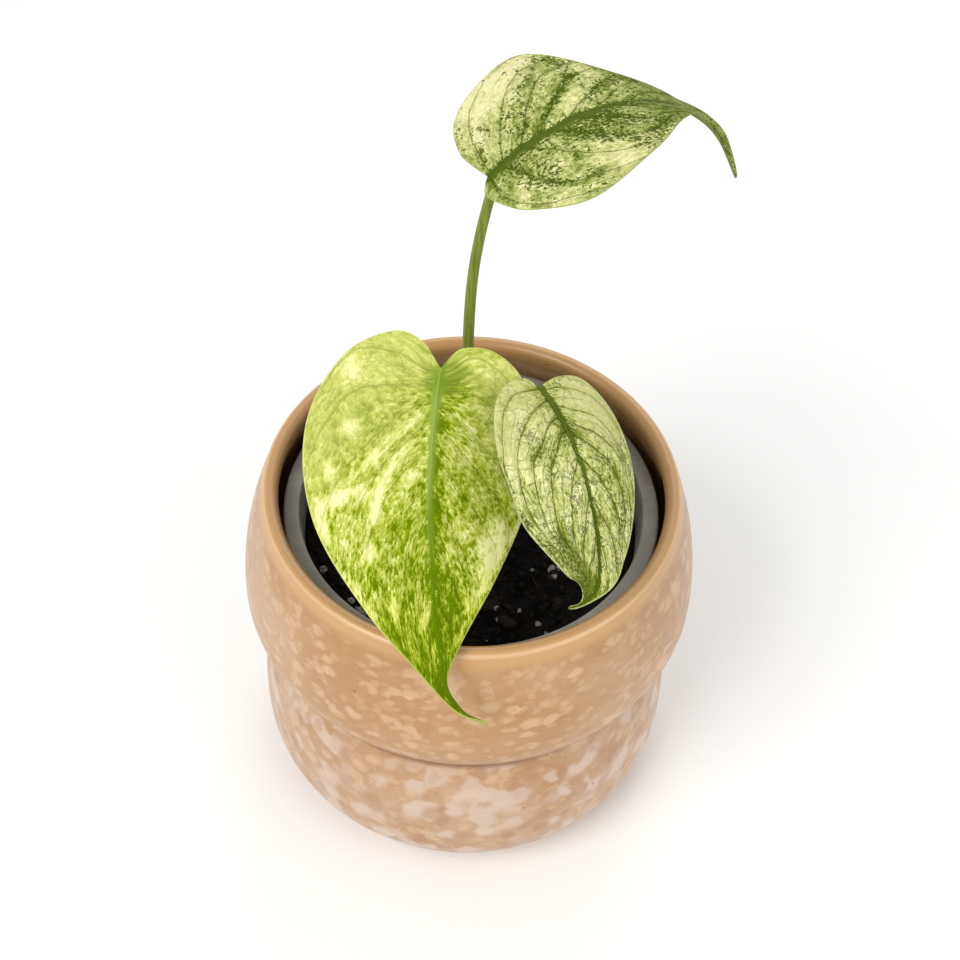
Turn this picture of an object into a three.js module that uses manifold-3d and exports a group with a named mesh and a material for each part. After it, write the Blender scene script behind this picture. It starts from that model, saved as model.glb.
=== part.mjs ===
// A young variegated monstera with three leaves, in a grey nursery pot
// that stands inside a two-tier ceramic cover pot.
// Millimetres, +Z up, origin on the middle of the flat base of the cover pot.

import * as THREE from 'three';
import { mergeVertices } from 'three/addons/utils/BufferGeometryUtils.js';
import Module from 'manifold-3d';

const wasm = await Module();
wasm.setup();

const AIR_GAP = 0.3;

// Ceramic cover pot, radii and heights of its outer form
const COVER = {
  height: 103,
  footRadius: 38.2,
  footRound: 1.2,
  lowerRadius: 56.8,
  lowerHeight: 19.5,
  lowerPower: 2.5,
  creaseRadius: 50.5,
  creaseHeight: 55.5,
  bulgePower: 1.33,
  upperRadius: 59,
  upperHeight: 68.8,
  shoulderPower: 1.9,
  lipRadius: 50.5,
  lipThickness: 4.2,
  wall: 4.6,
  floor: 5,
  sectors: 56,
};

// Plastic nursery pot inside it
const NURSERY = {
  rimHeight: 94.7,
  rimRadius: 47.5,
  rimWidth: 4,
  rimThickness: 1.2,
  skirt: 5,
  wall: 1,
  baseRadius: 34,
  baseLift: 3,
  standRing: 2.5,
  drainHoles: 6,
  drainHoleRadius: 4,
  drainCircle: 20,
  sectors: 48,
};

// Potting soil, with low mounds on top
const SOIL = {
  level: 86,
  crown: 2.2,
  relief: 0.9,
  rings: 11,
  sectors: 42,
};

// Short main stem in the middle, where the three petioles start
const STEM = {
  centre: [-1.5, 4.5],
  bottom: 68,
  top: 99,
  radius: 4,
  topRadius: 2.6,
  nodeHeights: [88, 93.5],
  nodeSwell: 0.6,
  sides: 12,
  steps: 12,
};

const PETIOLE_SIDES = 10;
const PETIOLE_STEPS = 23;

// The petioles end below the ribs of the blades: the gap, and the size of the block that cuts them
const RIB_GAP = 0.4;
const RIB_BLOCK = 12;

const BLADE = {
  thickness: 0.8,
  ribDepth: 1.1,
  ribHalfWidth: 1.3,
  rows: 26,
  columns: [0, 0.05, 0.2, 0.4, 0.6, 0.8, 1],
  fanShare: 0.2,
  veinSweep: 1.15,
  veinBow: 0.1,
  midribSteps: 64,
};

// Each leaf: where the blade joins its petiole, how the midrib heads (0 is towards -Y, 90 is
// towards +X), droops and rolls from base to tip, how its last stretch turns, how the halves fold
// up and cup over, in degrees, and both half outlines as [across, along] from the petiole.
// The petiole's path runs from the stem; arrival is its direction where it meets the blade, and
// inset how far inside the edge that is.
const LEAVES = {
  large: {
    length: 92,
    base: [-8.2, -7.4, 150],
    heading: { base: -7, along: 32, tail: 101 },
    droop: { base: 28, along: 35.5, tail: -7.5 },
    roll: { base: -23, along: -9 },
    tail: { start: 0.72, reach: 0.24 },
    fold: 1.5,
    cup: 16,
    left: [[1.4, 0], [4.4, -4.7], [11.7, -6], [21.5, 1.2], [28.3, 15.7],
      [26.8, 33.2], [16.7, 51.6], [4.4, 70], [2.2, 81], [0.5, 92]],
    right: [[1.4, 0], [3.8, -5.4], [12.4, -6.9], [21.4, -1.1], [25.8, 15.7],
      [26.3, 33.2], [17.5, 51.6], [1.9, 70], [2, 81], [0.5, 92]],
    petiole: {
      startRadius: 1.6,
      endRadius: 1.15,
      path: [[-3, 2.5, 93], [-6.2, -0.2, 104], [-8.8, -1.4, 122], [-9.6, -3, 138]],
      arrival: [0.1, -0.6, 0.8],
      inset: 2.2,
    },
  },
  small: {
    length: 58.5,
    base: [14.4, -7.6, 146],
    heading: { base: 38.5, along: -40.4, tail: -114.2 },
    droop: { base: 14, along: 46.6, tail: -11.8 },
    roll: { base: -19, along: -19 },
    tail: { start: 0.74, reach: 0.24 },
    fold: 7.4,
    cup: 29.6,
    left: [[1, 0], [2.6, -3.1], [8.8, -3], [15.2, 1.4], [19.6, 11.1],
      [20.3, 21.6], [18.3, 32.8], [7.6, 46.4], [0.9, 53.5], [0.5, 58.5]],
    right: [[1, 0], [2.4, -0.6], [8.8, -0.9], [15.6, 1.4], [20.7, 9.6],
      [19.2, 21.2], [12.6, 34.6], [7.2, 43.6], [1.3, 50.4], [0.5, 58.5]],
    petiole: {
      startRadius: 1.35,
      endRadius: 0.95,
      path: [[1, 4, 90], [7, 3.6, 101], [14.2, 2.4, 117], [17.4, 0, 133]],
      arrival: [-0.3, -0.6, 0.75],
      inset: 1.8,
    },
  },
  tall: {
    length: 75.5,
    base: [0.1, 4.2, 195],
    heading: { base: 120, along: 5.9, tail: -95.9 },
    droop: { base: -37.6, along: 105.4, tail: -24.9 },
    roll: { base: -7, along: -2 },
    tail: { start: 0.72, reach: 0.19 },
    fold: 7.4,
    cup: 8.5,
    left: [[0.9, 0], [4.1, -2.5], [9.7, -1.5], [18.6, 2.9], [26.3, 12.7],
      [21.6, 27.5], [12.4, 40.4], [1.9, 58.5], [0.9, 65.7], [0.5, 75.5]],
    right: [[0.9, 0], [4.3, -0.5], [9.8, -1.5], [18.5, 1.8], [24, 12.7],
      [25.7, 26.2], [11.2, 41.2], [3.3, 58.2], [1.5, 66.4], [0.5, 75.5]],
    petiole: {
      startRadius: 1.5,
      endRadius: 1.05,
      path: [[-1.5, 4.5, 99.5], [-1.9, 4.6, 125], [-2.4, 4.5, 150], [-1.9, 4.5, 167],
        [-0.5, 4.4, 180]],
      arrival: [0.3, 0.1, 1],
      inset: 3,
    },
  },
};

const CERAMIC = { color: 0xcfa585, roughness: 0.32, metalness: 0 };
const GREY_PLASTIC = { color: 0x6c6761, roughness: 0.55, metalness: 0 };
const DARK_SOIL = { color: 0x15110b, roughness: 0.95, metalness: 0 };
const STEM_GREEN = { color: 0x6f8a3c, roughness: 0.5, metalness: 0 };
const LIME_LEAF = { color: 0xa3bd4e, roughness: 0.45, metalness: 0 };
const MINT_LEAF = { color: 0xbccb93, roughness: 0.45, metalness: 0 };
const CREAM_LEAF = { color: 0xcfd193, roughness: 0.45, metalness: 0 };

const degrees = THREE.MathUtils.degToRad;

function mesh(name, geometry, look) {
  const part = new THREE.Mesh(geometry, new THREE.MeshStandardMaterial(look));
  part.name = name;
  return part;
}

// Vertices listed flat and triangles by index, as one indexed geometry
function indexed(vertices, triangles) {
  const geometry = new THREE.BufferGeometry();
  geometry.setAttribute('position', new THREE.Float32BufferAttribute(vertices, 3));
  geometry.setIndex(triangles);
  return geometry;
}

// Shared corners merged and the slivers that this leaves dropped
function welded(geometry) {
  const bare = geometry.clone();
  bare.deleteAttribute('normal');
  bare.deleteAttribute('uv');
  const merged = mergeVertices(bare, 1e-4);
  const kept = [];
  const index = merged.index.array;
  for (let i = 0; i < index.length; i += 3) {
    const [a, b, c] = [index[i], index[i + 1], index[i + 2]];
    if (a !== b && b !== c && c !== a) kept.push(a, b, c);
  }
  return indexed([...merged.attributes.position.array], kept);
}

function solid(geometry) {
  const closed = welded(geometry);
  return new wasm.Manifold(new wasm.Mesh({
    numProp: 3,
    vertProperties: new Float32Array(closed.attributes.position.array),
    triVerts: new Uint32Array(closed.index.array),
  }));
}

function fromSolid(body) {
  const result = body.getMesh();
  return indexed([...result.vertProperties], [...result.triVerts]);
}

// A profile of [radius, height] turned about the Z axis
function turned(profile, sectors) {
  const points = profile.map(([radius, height]) => new THREE.Vector2(radius, height));
  return new THREE.LatheGeometry(points, sectors).rotateX(Math.PI / 2);
}

function arcSteps(count, visit) {
  for (let step = 1; step <= count; step += 1) visit(step / count);
}

// Outer radius of the cover pot at a height: lower bulge, crease, then the wider upper bulge
function coverRadius(height) {
  const c = COVER;
  if (height < c.lowerHeight) {
    const rise = 1 - height / c.lowerHeight;
    return c.footRadius + (c.lowerRadius - c.footRadius) * Math.sqrt(1 - rise * rise);
  }
  if (height < c.creaseHeight) {
    const rise = (height - c.lowerHeight) / (c.creaseHeight - c.lowerHeight);
    return c.lowerRadius - (c.lowerRadius - c.creaseRadius) * rise ** c.lowerPower;
  }
  if (height < c.upperHeight) {
    const fall = (c.upperHeight - height) / (c.upperHeight - c.creaseHeight);
    const swell = (1 - fall ** (2 / c.bulgePower)) ** (c.bulgePower / 2);
    return c.creaseRadius + (c.upperRadius - c.creaseRadius) * swell;
  }
  const lipOuter = c.lipRadius + c.lipThickness / 2;
  const lipHeight = c.height - c.lipThickness / 2;
  const rise = (height - c.upperHeight) / (lipHeight - c.upperHeight);
  return c.upperRadius - (c.upperRadius - lipOuter) * rise ** c.shoulderPower;
}

function coverPotProfile() {
  const c = COVER;
  const lipHeight = c.height - c.lipThickness / 2;
  const outerHeights = [1.2, 3.5, 7.5, 13, 19.5, 29, 38, 45, 51, 55.5, 57, 60, 64, 68.8, 76, 83, 89, 95];
  const innerHeights = [97, 92, 84, 76, 68, 60, 55, 48, 36, 24, 14];
  const profile = [[0, 0], [c.footRadius - c.footRound, 0]];
  outerHeights.forEach((height) => profile.push([coverRadius(height), height]));
  profile.push([c.lipRadius + c.lipThickness / 2, lipHeight]);
  arcSteps(6, (share) => {
    const angle = share * Math.PI;
    const reach = c.lipThickness / 2;
    profile.push([c.lipRadius + reach * Math.cos(angle), lipHeight + reach * Math.sin(angle)]);
  });
  const innerLip = c.lipRadius - c.lipThickness / 2;
  innerHeights.forEach((height) => {
    profile.push([Math.max(innerLip, coverRadius(height) - c.wall), height]);
  });
  profile.push([coverRadius(c.lowerHeight / 2) - c.wall * 2.4, c.floor + 1.5]);
  profile.push([c.footRadius, c.floor]);
  profile.push([0, c.floor]);
  return profile;
}

function nurseryWallRadius(height) {
  const n = NURSERY;
  const bottom = COVER.floor + AIR_GAP;
  const share = (height - bottom) / (n.rimHeight - bottom);
  return n.baseRadius + (n.rimRadius - n.rimWidth - n.baseRadius) * share;
}

function nurseryPot() {
  const n = NURSERY;
  const bottom = COVER.floor + AIR_GAP;
  const base = bottom + n.baseLift;
  const underRim = n.rimHeight - n.rimThickness;
  const profile = [
    [0, base],
    [nurseryWallRadius(bottom) - n.standRing, base],
    [nurseryWallRadius(bottom) - n.standRing, bottom],
    [nurseryWallRadius(bottom) + n.wall, bottom],
    [nurseryWallRadius(underRim) + n.wall, underRim],
    [n.rimRadius - n.wall, underRim],
    [n.rimRadius - n.wall, n.rimHeight - n.skirt],
    [n.rimRadius, n.rimHeight - n.skirt],
    [n.rimRadius, n.rimHeight],
    [nurseryWallRadius(n.rimHeight), n.rimHeight],
    [nurseryWallRadius(base + n.wall), base + n.wall],
    [0, base + n.wall],
  ];
  let pot = solid(turned(profile, n.sectors));
  for (let hole = 0; hole < n.drainHoles; hole += 1) {
    const angle = (hole / n.drainHoles) * Math.PI * 2;
    const drill = new THREE.CylinderGeometry(n.drainHoleRadius, n.drainHoleRadius, n.baseLift * 2, 12)
      .rotateX(Math.PI / 2)
      .translate(n.drainCircle * Math.cos(angle), n.drainCircle * Math.sin(angle), base);
    pot = pot.subtract(solid(drill));
  }
  return fromSolid(pot);
}

// Height of the soil's top: a little higher round the stem, with uneven low mounds
function soilTop(x, y, edge) {
  const radius = Math.hypot(x, y);
  const dome = SOIL.crown * (1 - (radius / edge) ** 2);
  const mounds = Math.sin(x * 0.33 + 1) * Math.cos(y * 0.29 - 0.6) + 0.6 * Math.sin(x * 0.71 - y * 0.62);
  return SOIL.level + dome + SOIL.relief * mounds * Math.min(1, (edge - radius) / 6);
}

function soil() {
  const bottom = COVER.floor + AIR_GAP + NURSERY.baseLift + NURSERY.wall + AIR_GAP;
  const edge = nurseryWallRadius(SOIL.level) - AIR_GAP - 0.1;
  const profile = [[0, bottom], [nurseryWallRadius(bottom) - AIR_GAP - 0.1, bottom]];
  for (let ring = SOIL.rings; ring >= 0; ring -= 1) profile.push([(edge * ring) / SOIL.rings, SOIL.level]);
  const geometry = turned(profile, SOIL.sectors);
  const place = geometry.attributes.position;
  for (let i = 0; i < place.count; i += 1) {
    if (place.getZ(i) > bottom + 1) place.setZ(i, soilTop(place.getX(i), place.getY(i), edge));
  }
  const [x, y] = STEM.centre;
  const holeRadius = STEM.radius + STEM.nodeSwell + AIR_GAP;
  const holeBottom = STEM.bottom - AIR_GAP;
  const hole = new THREE.CylinderGeometry(holeRadius, holeRadius, SOIL.level - holeBottom + 20, STEM.sides)
    .rotateX(Math.PI / 2)
    .translate(x, y, (SOIL.level + holeBottom + 20) / 2);
  return fromSolid(solid(geometry).subtract(solid(hole)));
}

// A round tube along a curve whose radius changes with the share of its length, closed by flat ends
function sweep(curve, radiusAt, sides, steps) {
  const frames = curve.computeFrenetFrames(steps, false);
  const vertices = [];
  const triangles = [];
  for (let step = 0; step <= steps; step += 1) {
    const centre = curve.getPointAt(step / steps);
    for (let side = 0; side < sides; side += 1) {
      const angle = (side / sides) * Math.PI * 2;
      const radius = radiusAt(step / steps);
      const rim = centre.clone()
        .addScaledVector(frames.normals[step], radius * Math.cos(angle))
        .addScaledVector(frames.binormals[step], radius * Math.sin(angle));
      vertices.push(rim.x, rim.y, rim.z);
      if (step < steps) {
        const here = step * sides + side;
        const next = step * sides + ((side + 1) % sides);
        triangles.push(here, next, next + sides, here, next + sides, here + sides);
      }
    }
  }
  const ends = [curve.getPointAt(0), curve.getPointAt(1)];
  ends.forEach((centre) => vertices.push(centre.x, centre.y, centre.z));
  const first = (steps + 1) * sides;
  for (let side = 0; side < sides; side += 1) {
    const next = (side + 1) % sides;
    triangles.push(first, next, side);
    triangles.push(first + 1, steps * sides + side, steps * sides + next);
  }
  return indexed(vertices, triangles);
}

// The main stem, thicker at its nodes; extra makes it fatter, to cut its neighbours clear of it
function stem(extra) {
  const [x, y] = STEM.centre;
  const curve = new THREE.LineCurve3(
    new THREE.Vector3(x, y, STEM.bottom),
    new THREE.Vector3(x, y, STEM.top + extra),
  );
  const radiusAt = (share) => {
    const height = STEM.bottom + share * (STEM.top - STEM.bottom);
    const swell = STEM.nodeHeights.reduce(
      (sum, node) => sum + STEM.nodeSwell * Math.exp(-((height - node) ** 2) / 1.6),
      0,
    );
    const taper = Math.max(0, (height - STEM.nodeHeights[1]) / (STEM.top - STEM.nodeHeights[1]));
    return STEM.radius + swell - (STEM.radius - STEM.topRadius) * taper ** 2 + extra;
  };
  return sweep(curve, radiusAt, STEM.sides, STEM.steps);
}

function smoothStep(value) {
  const t = Math.min(1, Math.max(0, value));
  return t * t * (3 - 2 * t);
}

// Points and directions along a leaf's midrib, from its heading, droop and roll
function midrib(leaf) {
  const frames = [];
  const place = new THREE.Vector3(...leaf.base);
  for (let step = 0; step <= BLADE.midribSteps; step += 1) {
    const share = step / BLADE.midribSteps;
    const tail = smoothStep((share - leaf.tail.start) / leaf.tail.reach);
    const heading = degrees(leaf.heading.base + leaf.heading.along * share + leaf.heading.tail * tail);
    const droop = degrees(leaf.droop.base + leaf.droop.along * share + leaf.droop.tail * tail);
    const roll = degrees(leaf.roll.base + leaf.roll.along * share);
    const along = new THREE.Vector3(
      Math.cos(droop) * Math.sin(heading),
      -Math.cos(droop) * Math.cos(heading),
      -Math.sin(droop),
    );
    const across = new THREE.Vector3(Math.cos(heading), Math.sin(heading), 0).applyAxisAngle(along, roll);
    const up = along.clone().cross(across);
    if (step > 0) {
      const before = frames[step - 1].along;
      place.addScaledVector(before.clone().add(along), leaf.length / BLADE.midribSteps / 2);
    }
    frames.push({ place: place.clone(), along, across, up });
  }
  return frames;
}

function frameAt(frames, share) {
  const scaled = Math.min(1, Math.max(0, share)) * BLADE.midribSteps;
  const step = Math.min(Math.floor(scaled), BLADE.midribSteps - 1);
  const mix = scaled - step;
  const blend = (key) => frames[step][key].clone().lerp(frames[step + 1][key], mix);
  return { place: blend('place'), along: blend('along'), across: blend('across'), up: blend('up') };
}

// From the flat pattern of a blade to its place: folded at the midrib, then cupped over
function bladePoint(leaf, frames, x, y) {
  const frame = frameAt(frames, y / leaf.length);
  const fold = degrees(leaf.fold);
  const turn = degrees(leaf.cup) / (leaf.length * 0.3);
  const reach = Math.abs(x);
  const out = (Math.sin(fold) - Math.sin(fold - turn * reach)) / turn;
  const lift = (Math.cos(fold - turn * reach) - Math.cos(fold)) / turn;
  return frame.place
    .addScaledVector(frames[0].along, Math.min(0, y))
    .addScaledVector(frame.across, Math.sign(x) * out)
    .addScaledVector(frame.up, lift);
}

function bladeNormal(leaf, frames, x, y) {
  const nudge = 0.05;
  const across = bladePoint(leaf, frames, x + nudge, y).sub(bladePoint(leaf, frames, x - nudge, y));
  const along = bladePoint(leaf, frames, x, y + nudge).sub(bladePoint(leaf, frames, x, y - nudge));
  return along.cross(across).normalize();
}

// Thickness of a blade: even, with the midrib standing out below it and thinning to the tip
function bladeThickness(leaf, x, y) {
  const ridge = Math.max(0, 1 - Math.abs(x) / BLADE.ribHalfWidth);
  const fade = 1 - 0.85 * Math.max(0, y / leaf.length);
  return BLADE.thickness + BLADE.ribDepth * ridge * fade;
}

// One half of the flat pattern as rows of [x, y], each row following a vein from the midrib to
// the edge. The first rows fan out from the petiole into the basal lobe.
function halfPattern(leaf, outline, side) {
  const edge = new THREE.CatmullRomCurve3(
    outline.map(([across, along]) => new THREE.Vector3(side * across, along, 0)),
    false,
    'catmullrom',
    0.5,
  );
  const rows = [];
  for (let row = 0; row <= BLADE.rows; row += 1) {
    const share = row / BLADE.rows;
    const rim = edge.getPointAt(share);
    const run = Math.max(0, (share - BLADE.fanShare) / (1 - BLADE.fanShare));
    const root = leaf.length * run ** BLADE.veinSweep;
    const bow = BLADE.veinBow * Math.abs(rim.x) * Math.sin(Math.PI * share);
    rows.push(BLADE.columns.map((column) => [
      rim.x * column,
      root + (rim.y - root) * column - bow * Math.sin(Math.PI * column),
    ]));
  }
  return rows;
}

// The blade as a closed solid: the same grid above and below, and a wall along its whole edge
function blade(leaf) {
  const frames = midrib(leaf);
  const vertices = [];
  const triangles = [];
  const last = BLADE.columns.length - 1;
  [[leaf.left, -1], [leaf.right, 1]].forEach(([outline, side]) => {
    const start = vertices.length / 3;
    halfPattern(leaf, outline, side).forEach((row) => row.forEach(([x, y]) => {
      const normal = bladeNormal(leaf, frames, x, y);
      const top = bladePoint(leaf, frames, x, y);
      const under = top.clone().addScaledVector(normal, -bladeThickness(leaf, x, y));
      vertices.push(top.x, top.y, top.z, under.x, under.y, under.z);
    }));
    const corner = (row, column, level) => start + (row * (last + 1) + column) * 2 + level;
    const quad = (a, b, c, d) => {
      if (side > 0) triangles.push(a, b, c, a, c, d);
      else triangles.push(c, b, a, d, c, a);
    };
    for (let row = 0; row < BLADE.rows; row += 1) {
      for (let column = 0; column < last; column += 1) {
        const at = (level) => [
          corner(row, column, level), corner(row + 1, column, level),
          corner(row + 1, column + 1, level), corner(row, column + 1, level),
        ];
        const [a, b, c, d] = at(0);
        const [e, f, g, h] = at(1);
        quad(a, b, c, d);
        if (side > 0) triangles.push(g, f, e, h, g, e);
        else triangles.push(e, f, g, e, g, h);
      }
      quad(corner(row, last, 0), corner(row + 1, last, 0), corner(row + 1, last, 1), corner(row, last, 1));
    }
    for (let column = 0; column < last; column += 1) {
      quad(corner(0, column, 0), corner(0, column + 1, 0), corner(0, column + 1, 1), corner(0, column, 1));
      const [a, b] = [corner(BLADE.rows, column, 0), corner(BLADE.rows, column + 1, 0)];
      quad(b, a, a + 1, b + 1);
    }
  });
  return welded(indexed(vertices, triangles));
}

// A block over a blade's rib where the petiole arrives, to cut the petiole clear of the blade
function overRib(leaf, frames) {
  const { place, along, across, up } = frameAt(frames, leaf.petiole.inset / leaf.length);
  const lowest = BLADE.thickness + BLADE.ribDepth + RIB_GAP;
  return new THREE.BoxGeometry(RIB_BLOCK, RIB_BLOCK, RIB_BLOCK)
    .applyMatrix4(new THREE.Matrix4().makeBasis(along, across, up))
    .translate(...place.addScaledVector(up, RIB_BLOCK / 2 - lowest));
}

// A petiole from the stem to the underside of its blade, cut clear of both by a small gap
function petiole(leaf) {
  const stalk = leaf.petiole;
  const frames = midrib(leaf);
  const rise = new THREE.Vector3(...stalk.arrival).normalize();
  const end = bladePoint(leaf, frames, 0, stalk.inset)
    .addScaledVector(frames[0].up, -BLADE.thickness);
  const points = stalk.path.map((point) => new THREE.Vector3(...point));
  points.push(end.clone().addScaledVector(rise, -5));
  points.push(end);
  const curve = new THREE.CatmullRomCurve3(points, false, 'centripetal');
  const radiusAt = (share) => stalk.startRadius + (stalk.endRadius - stalk.startRadius) * share;
  const tube = solid(sweep(curve, radiusAt, PETIOLE_SIDES, PETIOLE_STEPS));
  const clear = tube.subtract(solid(stem(AIR_GAP))).subtract(solid(overRib(leaf, frames)));
  const pieces = clear.decompose();
  pieces.sort((one, other) => other.volume() - one.volume());
  return fromSolid(pieces[0]);
}

const plant = new THREE.Group();
plant.add(
  mesh('ceramic_pot', welded(turned(coverPotProfile(), COVER.sectors)), CERAMIC),
  mesh('nursery_pot', nurseryPot(), GREY_PLASTIC),
  mesh('soil', soil(), DARK_SOIL),
  mesh('stem', stem(0), STEM_GREEN),
  mesh('petiole_large', petiole(LEAVES.large), STEM_GREEN),
  mesh('petiole_small', petiole(LEAVES.small), STEM_GREEN),
  mesh('petiole_tall', petiole(LEAVES.tall), STEM_GREEN),
  mesh('leaf_large', blade(LEAVES.large), LIME_LEAF),
  mesh('leaf_small', blade(LEAVES.small), MINT_LEAF),
  mesh('leaf_tall', blade(LEAVES.tall), CREAM_LEAF),
);

export default plant;
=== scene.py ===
# A young variegated monstera with three leaves, in a grey nursery pot inside a ceramic cover pot:
# the finished surfaces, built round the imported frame.
# Constants are in millimetres and degrees, and every mesh is made in metres.

import math
import random
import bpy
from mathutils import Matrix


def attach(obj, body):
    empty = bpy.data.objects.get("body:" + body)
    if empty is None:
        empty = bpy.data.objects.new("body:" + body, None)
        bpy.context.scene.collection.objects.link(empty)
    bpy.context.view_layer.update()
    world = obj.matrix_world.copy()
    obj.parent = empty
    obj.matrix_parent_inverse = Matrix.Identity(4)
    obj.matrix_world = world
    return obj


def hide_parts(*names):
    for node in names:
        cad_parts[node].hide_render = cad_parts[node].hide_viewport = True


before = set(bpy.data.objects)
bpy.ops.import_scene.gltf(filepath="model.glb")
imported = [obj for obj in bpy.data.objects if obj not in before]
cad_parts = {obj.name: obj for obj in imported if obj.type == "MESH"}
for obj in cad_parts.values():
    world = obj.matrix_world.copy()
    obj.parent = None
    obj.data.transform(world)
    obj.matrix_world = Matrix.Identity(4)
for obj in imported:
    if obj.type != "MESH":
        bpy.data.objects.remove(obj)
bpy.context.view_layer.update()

from types import SimpleNamespace

import bmesh
import bpy
import numpy as np
from mathutils import Matrix, Vector, noise

MM = 0.001
FULL_TURN = 2 * math.pi
TINY = 1e-9
WELD = 0.0003
AIR_GAP = 0.3
SEED = 11

# Radii of the small flat faces that close a turned pot and the ends of the soil
POLE = 0.5
CAP = 0.3

# Leaf patterns: how far the mottling moves on from vein to vein and from half to half, how soft
# the border between two bands is, and the length over which the midrib narrows
VEIN_STRIDE = 5
SIDE_SHIFT = 9
BAND_BLUR = 0.018
MIDRIB_TAPER = 60

# The camera: focal length in pixels of the 960 pixel image, and where it looks from
CAMERA = SimpleNamespace(
    focal_pixels=1500,
    image_pixels=960,
    sensor=36,
    nearest=10,
    aim=(1.84, 0, 103.49),
    distance=373.65,
    elevation=49.8,
    roll=2.81,
)

# Ceramic cover pot, the same outer form as its solid
COVER = SimpleNamespace(
    height=103,
    flat_radius=20,
    foot_radius=38.2,
    foot_round=1.2,
    foot_turn=0.2,
    lower_radius=56.8,
    lower_height=19.5,
    lower_power=2.5,
    crease_radius=50.5,
    crease_height=55.5,
    crease_crowding=1.8,
    bulge_power=1.33,
    upper_radius=59,
    upper_height=68.8,
    shoulder_power=1.9,
    lip_radius=50.5,
    lip_thickness=4.2,
    wall=4.6,
    floor=5,
    inner_corner=14,
    corner_fill=2.4,
    corner_rise=1.5,
    sectors=256,
    wobble=0.12,
    wobble_from=8,
    waves=1.2,
    wave_height=30,
)

NURSERY = SimpleNamespace(
    rim_height=94.7,
    rim_radius=47.5,
    rim_width=4,
    rim_thickness=1.2,
    skirt=5,
    bend_height=84,
    wall=1,
    base_radius=34,
    base_lift=3,
    stand_ring=2.5,
    drain_holes=6,
    drain_hole_radius=4,
    drain_hole_sides=40,
    drain_circle=20,
    drill_turn=0.05,
    sectors=192,
)
NURSERY_BOTTOM = COVER.floor + AIR_GAP

SOIL = SimpleNamespace(
    level=86,
    crown=2.2,
    relief=0.9,
    level_edge=6,
    lumps=0.75,
    crumb_relief=0.42,
    mound_rates=(0.33, 0.29, 0.71, 0.62),
    mound_starts=(1, 0.6),
    slanted_mounds=0.6,
    lump_rate=0.33,
    lump_form=(0.8, 2.1, 3),
    crumb_rate=1.1,
    crumb_shift=(40, 0, 0),
    crumb_form=(0.7, 2.2, 3),
    shoulder=2,
    wall_steps=24,
    hole_top=84,
    rings=92,
    sectors=340,
    wall_gap=AIR_GAP + 0.1,
)

# Loose bits in the soil, each with its material's name, its dark and light colour, the grain of
# its mottling and how it is strewn
BITS = {
    "soil_crumbs": ("dark_crumbs", (0x060302, 0x150E08, 1.2), {
        "count": 900, "sizes": (0.35, 1.1), "flatness": 0.8, "roughness": 0.7, "detail": 2, "sunk": 0.9}),
    "bark_chips": ("bark", (0x0C0704, 0x22170F, 0.9), {
        "count": 60, "sizes": (0.9, 2.1), "flatness": 0.35, "roughness": 0.5, "detail": 2, "sunk": 0.6,
        "stretch": 1.7}),
    "fine_twigs": ("twigs", (0x140D07, 0x33271C, 1.5), {
        "count": 18, "sizes": (0.22, 0.36), "flatness": 1, "roughness": 0.5, "detail": 2, "sunk": 0.2,
        "stretch": 14}),
    "perlite": ("perlite", (0x504C46, 0x948F86, 1.3), {
        "count": 10, "sizes": (0.35, 0.9), "flatness": 0.85, "roughness": 0.55, "detail": 3, "sunk": 0.5}),
}
BIT_MARGIN = 0.8
BIT_TILT = 0.5
GRAIN_RATE = 1.6
GRAIN_SHIFT = (7.31, 3.7, 1)

# Perlite grains that the camera sees, as [x, y, size]
PERLITE_SEEN = [
    [21, -14.8, 1], [22.6, -14.6, 0.8], [21.5, -17.9, 0.7], [16, -15.7, 0.5], [7.3, -27.6, 0.7],
    [7.9, -30.5, 0.6], [17.7, -30.8, 0.7], [5.2, -36.6, 0.6], [-36.2, -17.5, 1],
    [-28.4, -27, 0.9], [-25.8, -30.4, 1.5], [13, -28.7, 0.5], [20.3, -23.8, 0.4],
]
PERLITE_FORM = {"flatness": 0.8, "roughness": 0.6, "detail": 3}
PERLITE_TILT = 0.3
PERLITE_RISE = 0.3

STEM = SimpleNamespace(
    centre=(-1.5, 4.5),
    bottom=68,
    top=99,
    radius=4,
    top_radius=2.6,
    node_heights=(88, 93.5),
    node_swell=0.6,
    node_spread=1.6,
    ribs=7,
    rib_height=0.06,
    rib_twist=0.1,
    clear=1.5,
    sides=48,
    steps=90,
)

PETIOLE = SimpleNamespace(
    sides=28,
    steps=120,
    curve_steps=60,
    sheath=0.45,
    sheath_length=8,
    joint_swell=0.16,
    joint_at=3.5,
    joint_length=2.2,
    lopsided=0.2,
    grooves=((2, 0.035), (9, 0.015)),
    straight=5,
    drop=1.3,
)

# The domed end of a round tube, as steps of [share of its radius, distance beyond its end], and
# the direction that its seam is square to
TUBE_DOME = [[0.85, 0.35], [0.5, 0.6], [0.1, 0.7]]
SEAM_SIDE = (0.3, 1, 0.2)

BLADE = SimpleNamespace(
    thickness=0.5,
    sink=0.1,
    rib_depth=1.1,
    rib_half_width=1.3,
    rib_fade=0.85,
    rib_start=(0.5, 2),
    crest_width=1.1,
    crest_fade=0.8,
    flat_by_rib=3.5,
    flat_by_edge=3,
    quilt_share=0.6,
    quilted_gap=5,
    groove_width=0.5,
    ripple=0.16,
    ripple_across=(0.42, 0.7),
    ripple_along=(0.31, 1.3),
    rows=220,
    columns=60,
    crowding=0.5,
    fan_share=0.2,
    vein_sweep=1.15,
    vein_bow=0.1,
    gap_limits=(0.05, 14),
    outline_steps=80,
    midrib_steps=420,
    cup_reach=0.3,
    nudge=0.15,
    tip_round=3.5,
    tip_narrowing=0.98,
    edge_reach=0.6,
    edge_start=0.06,
)

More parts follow.
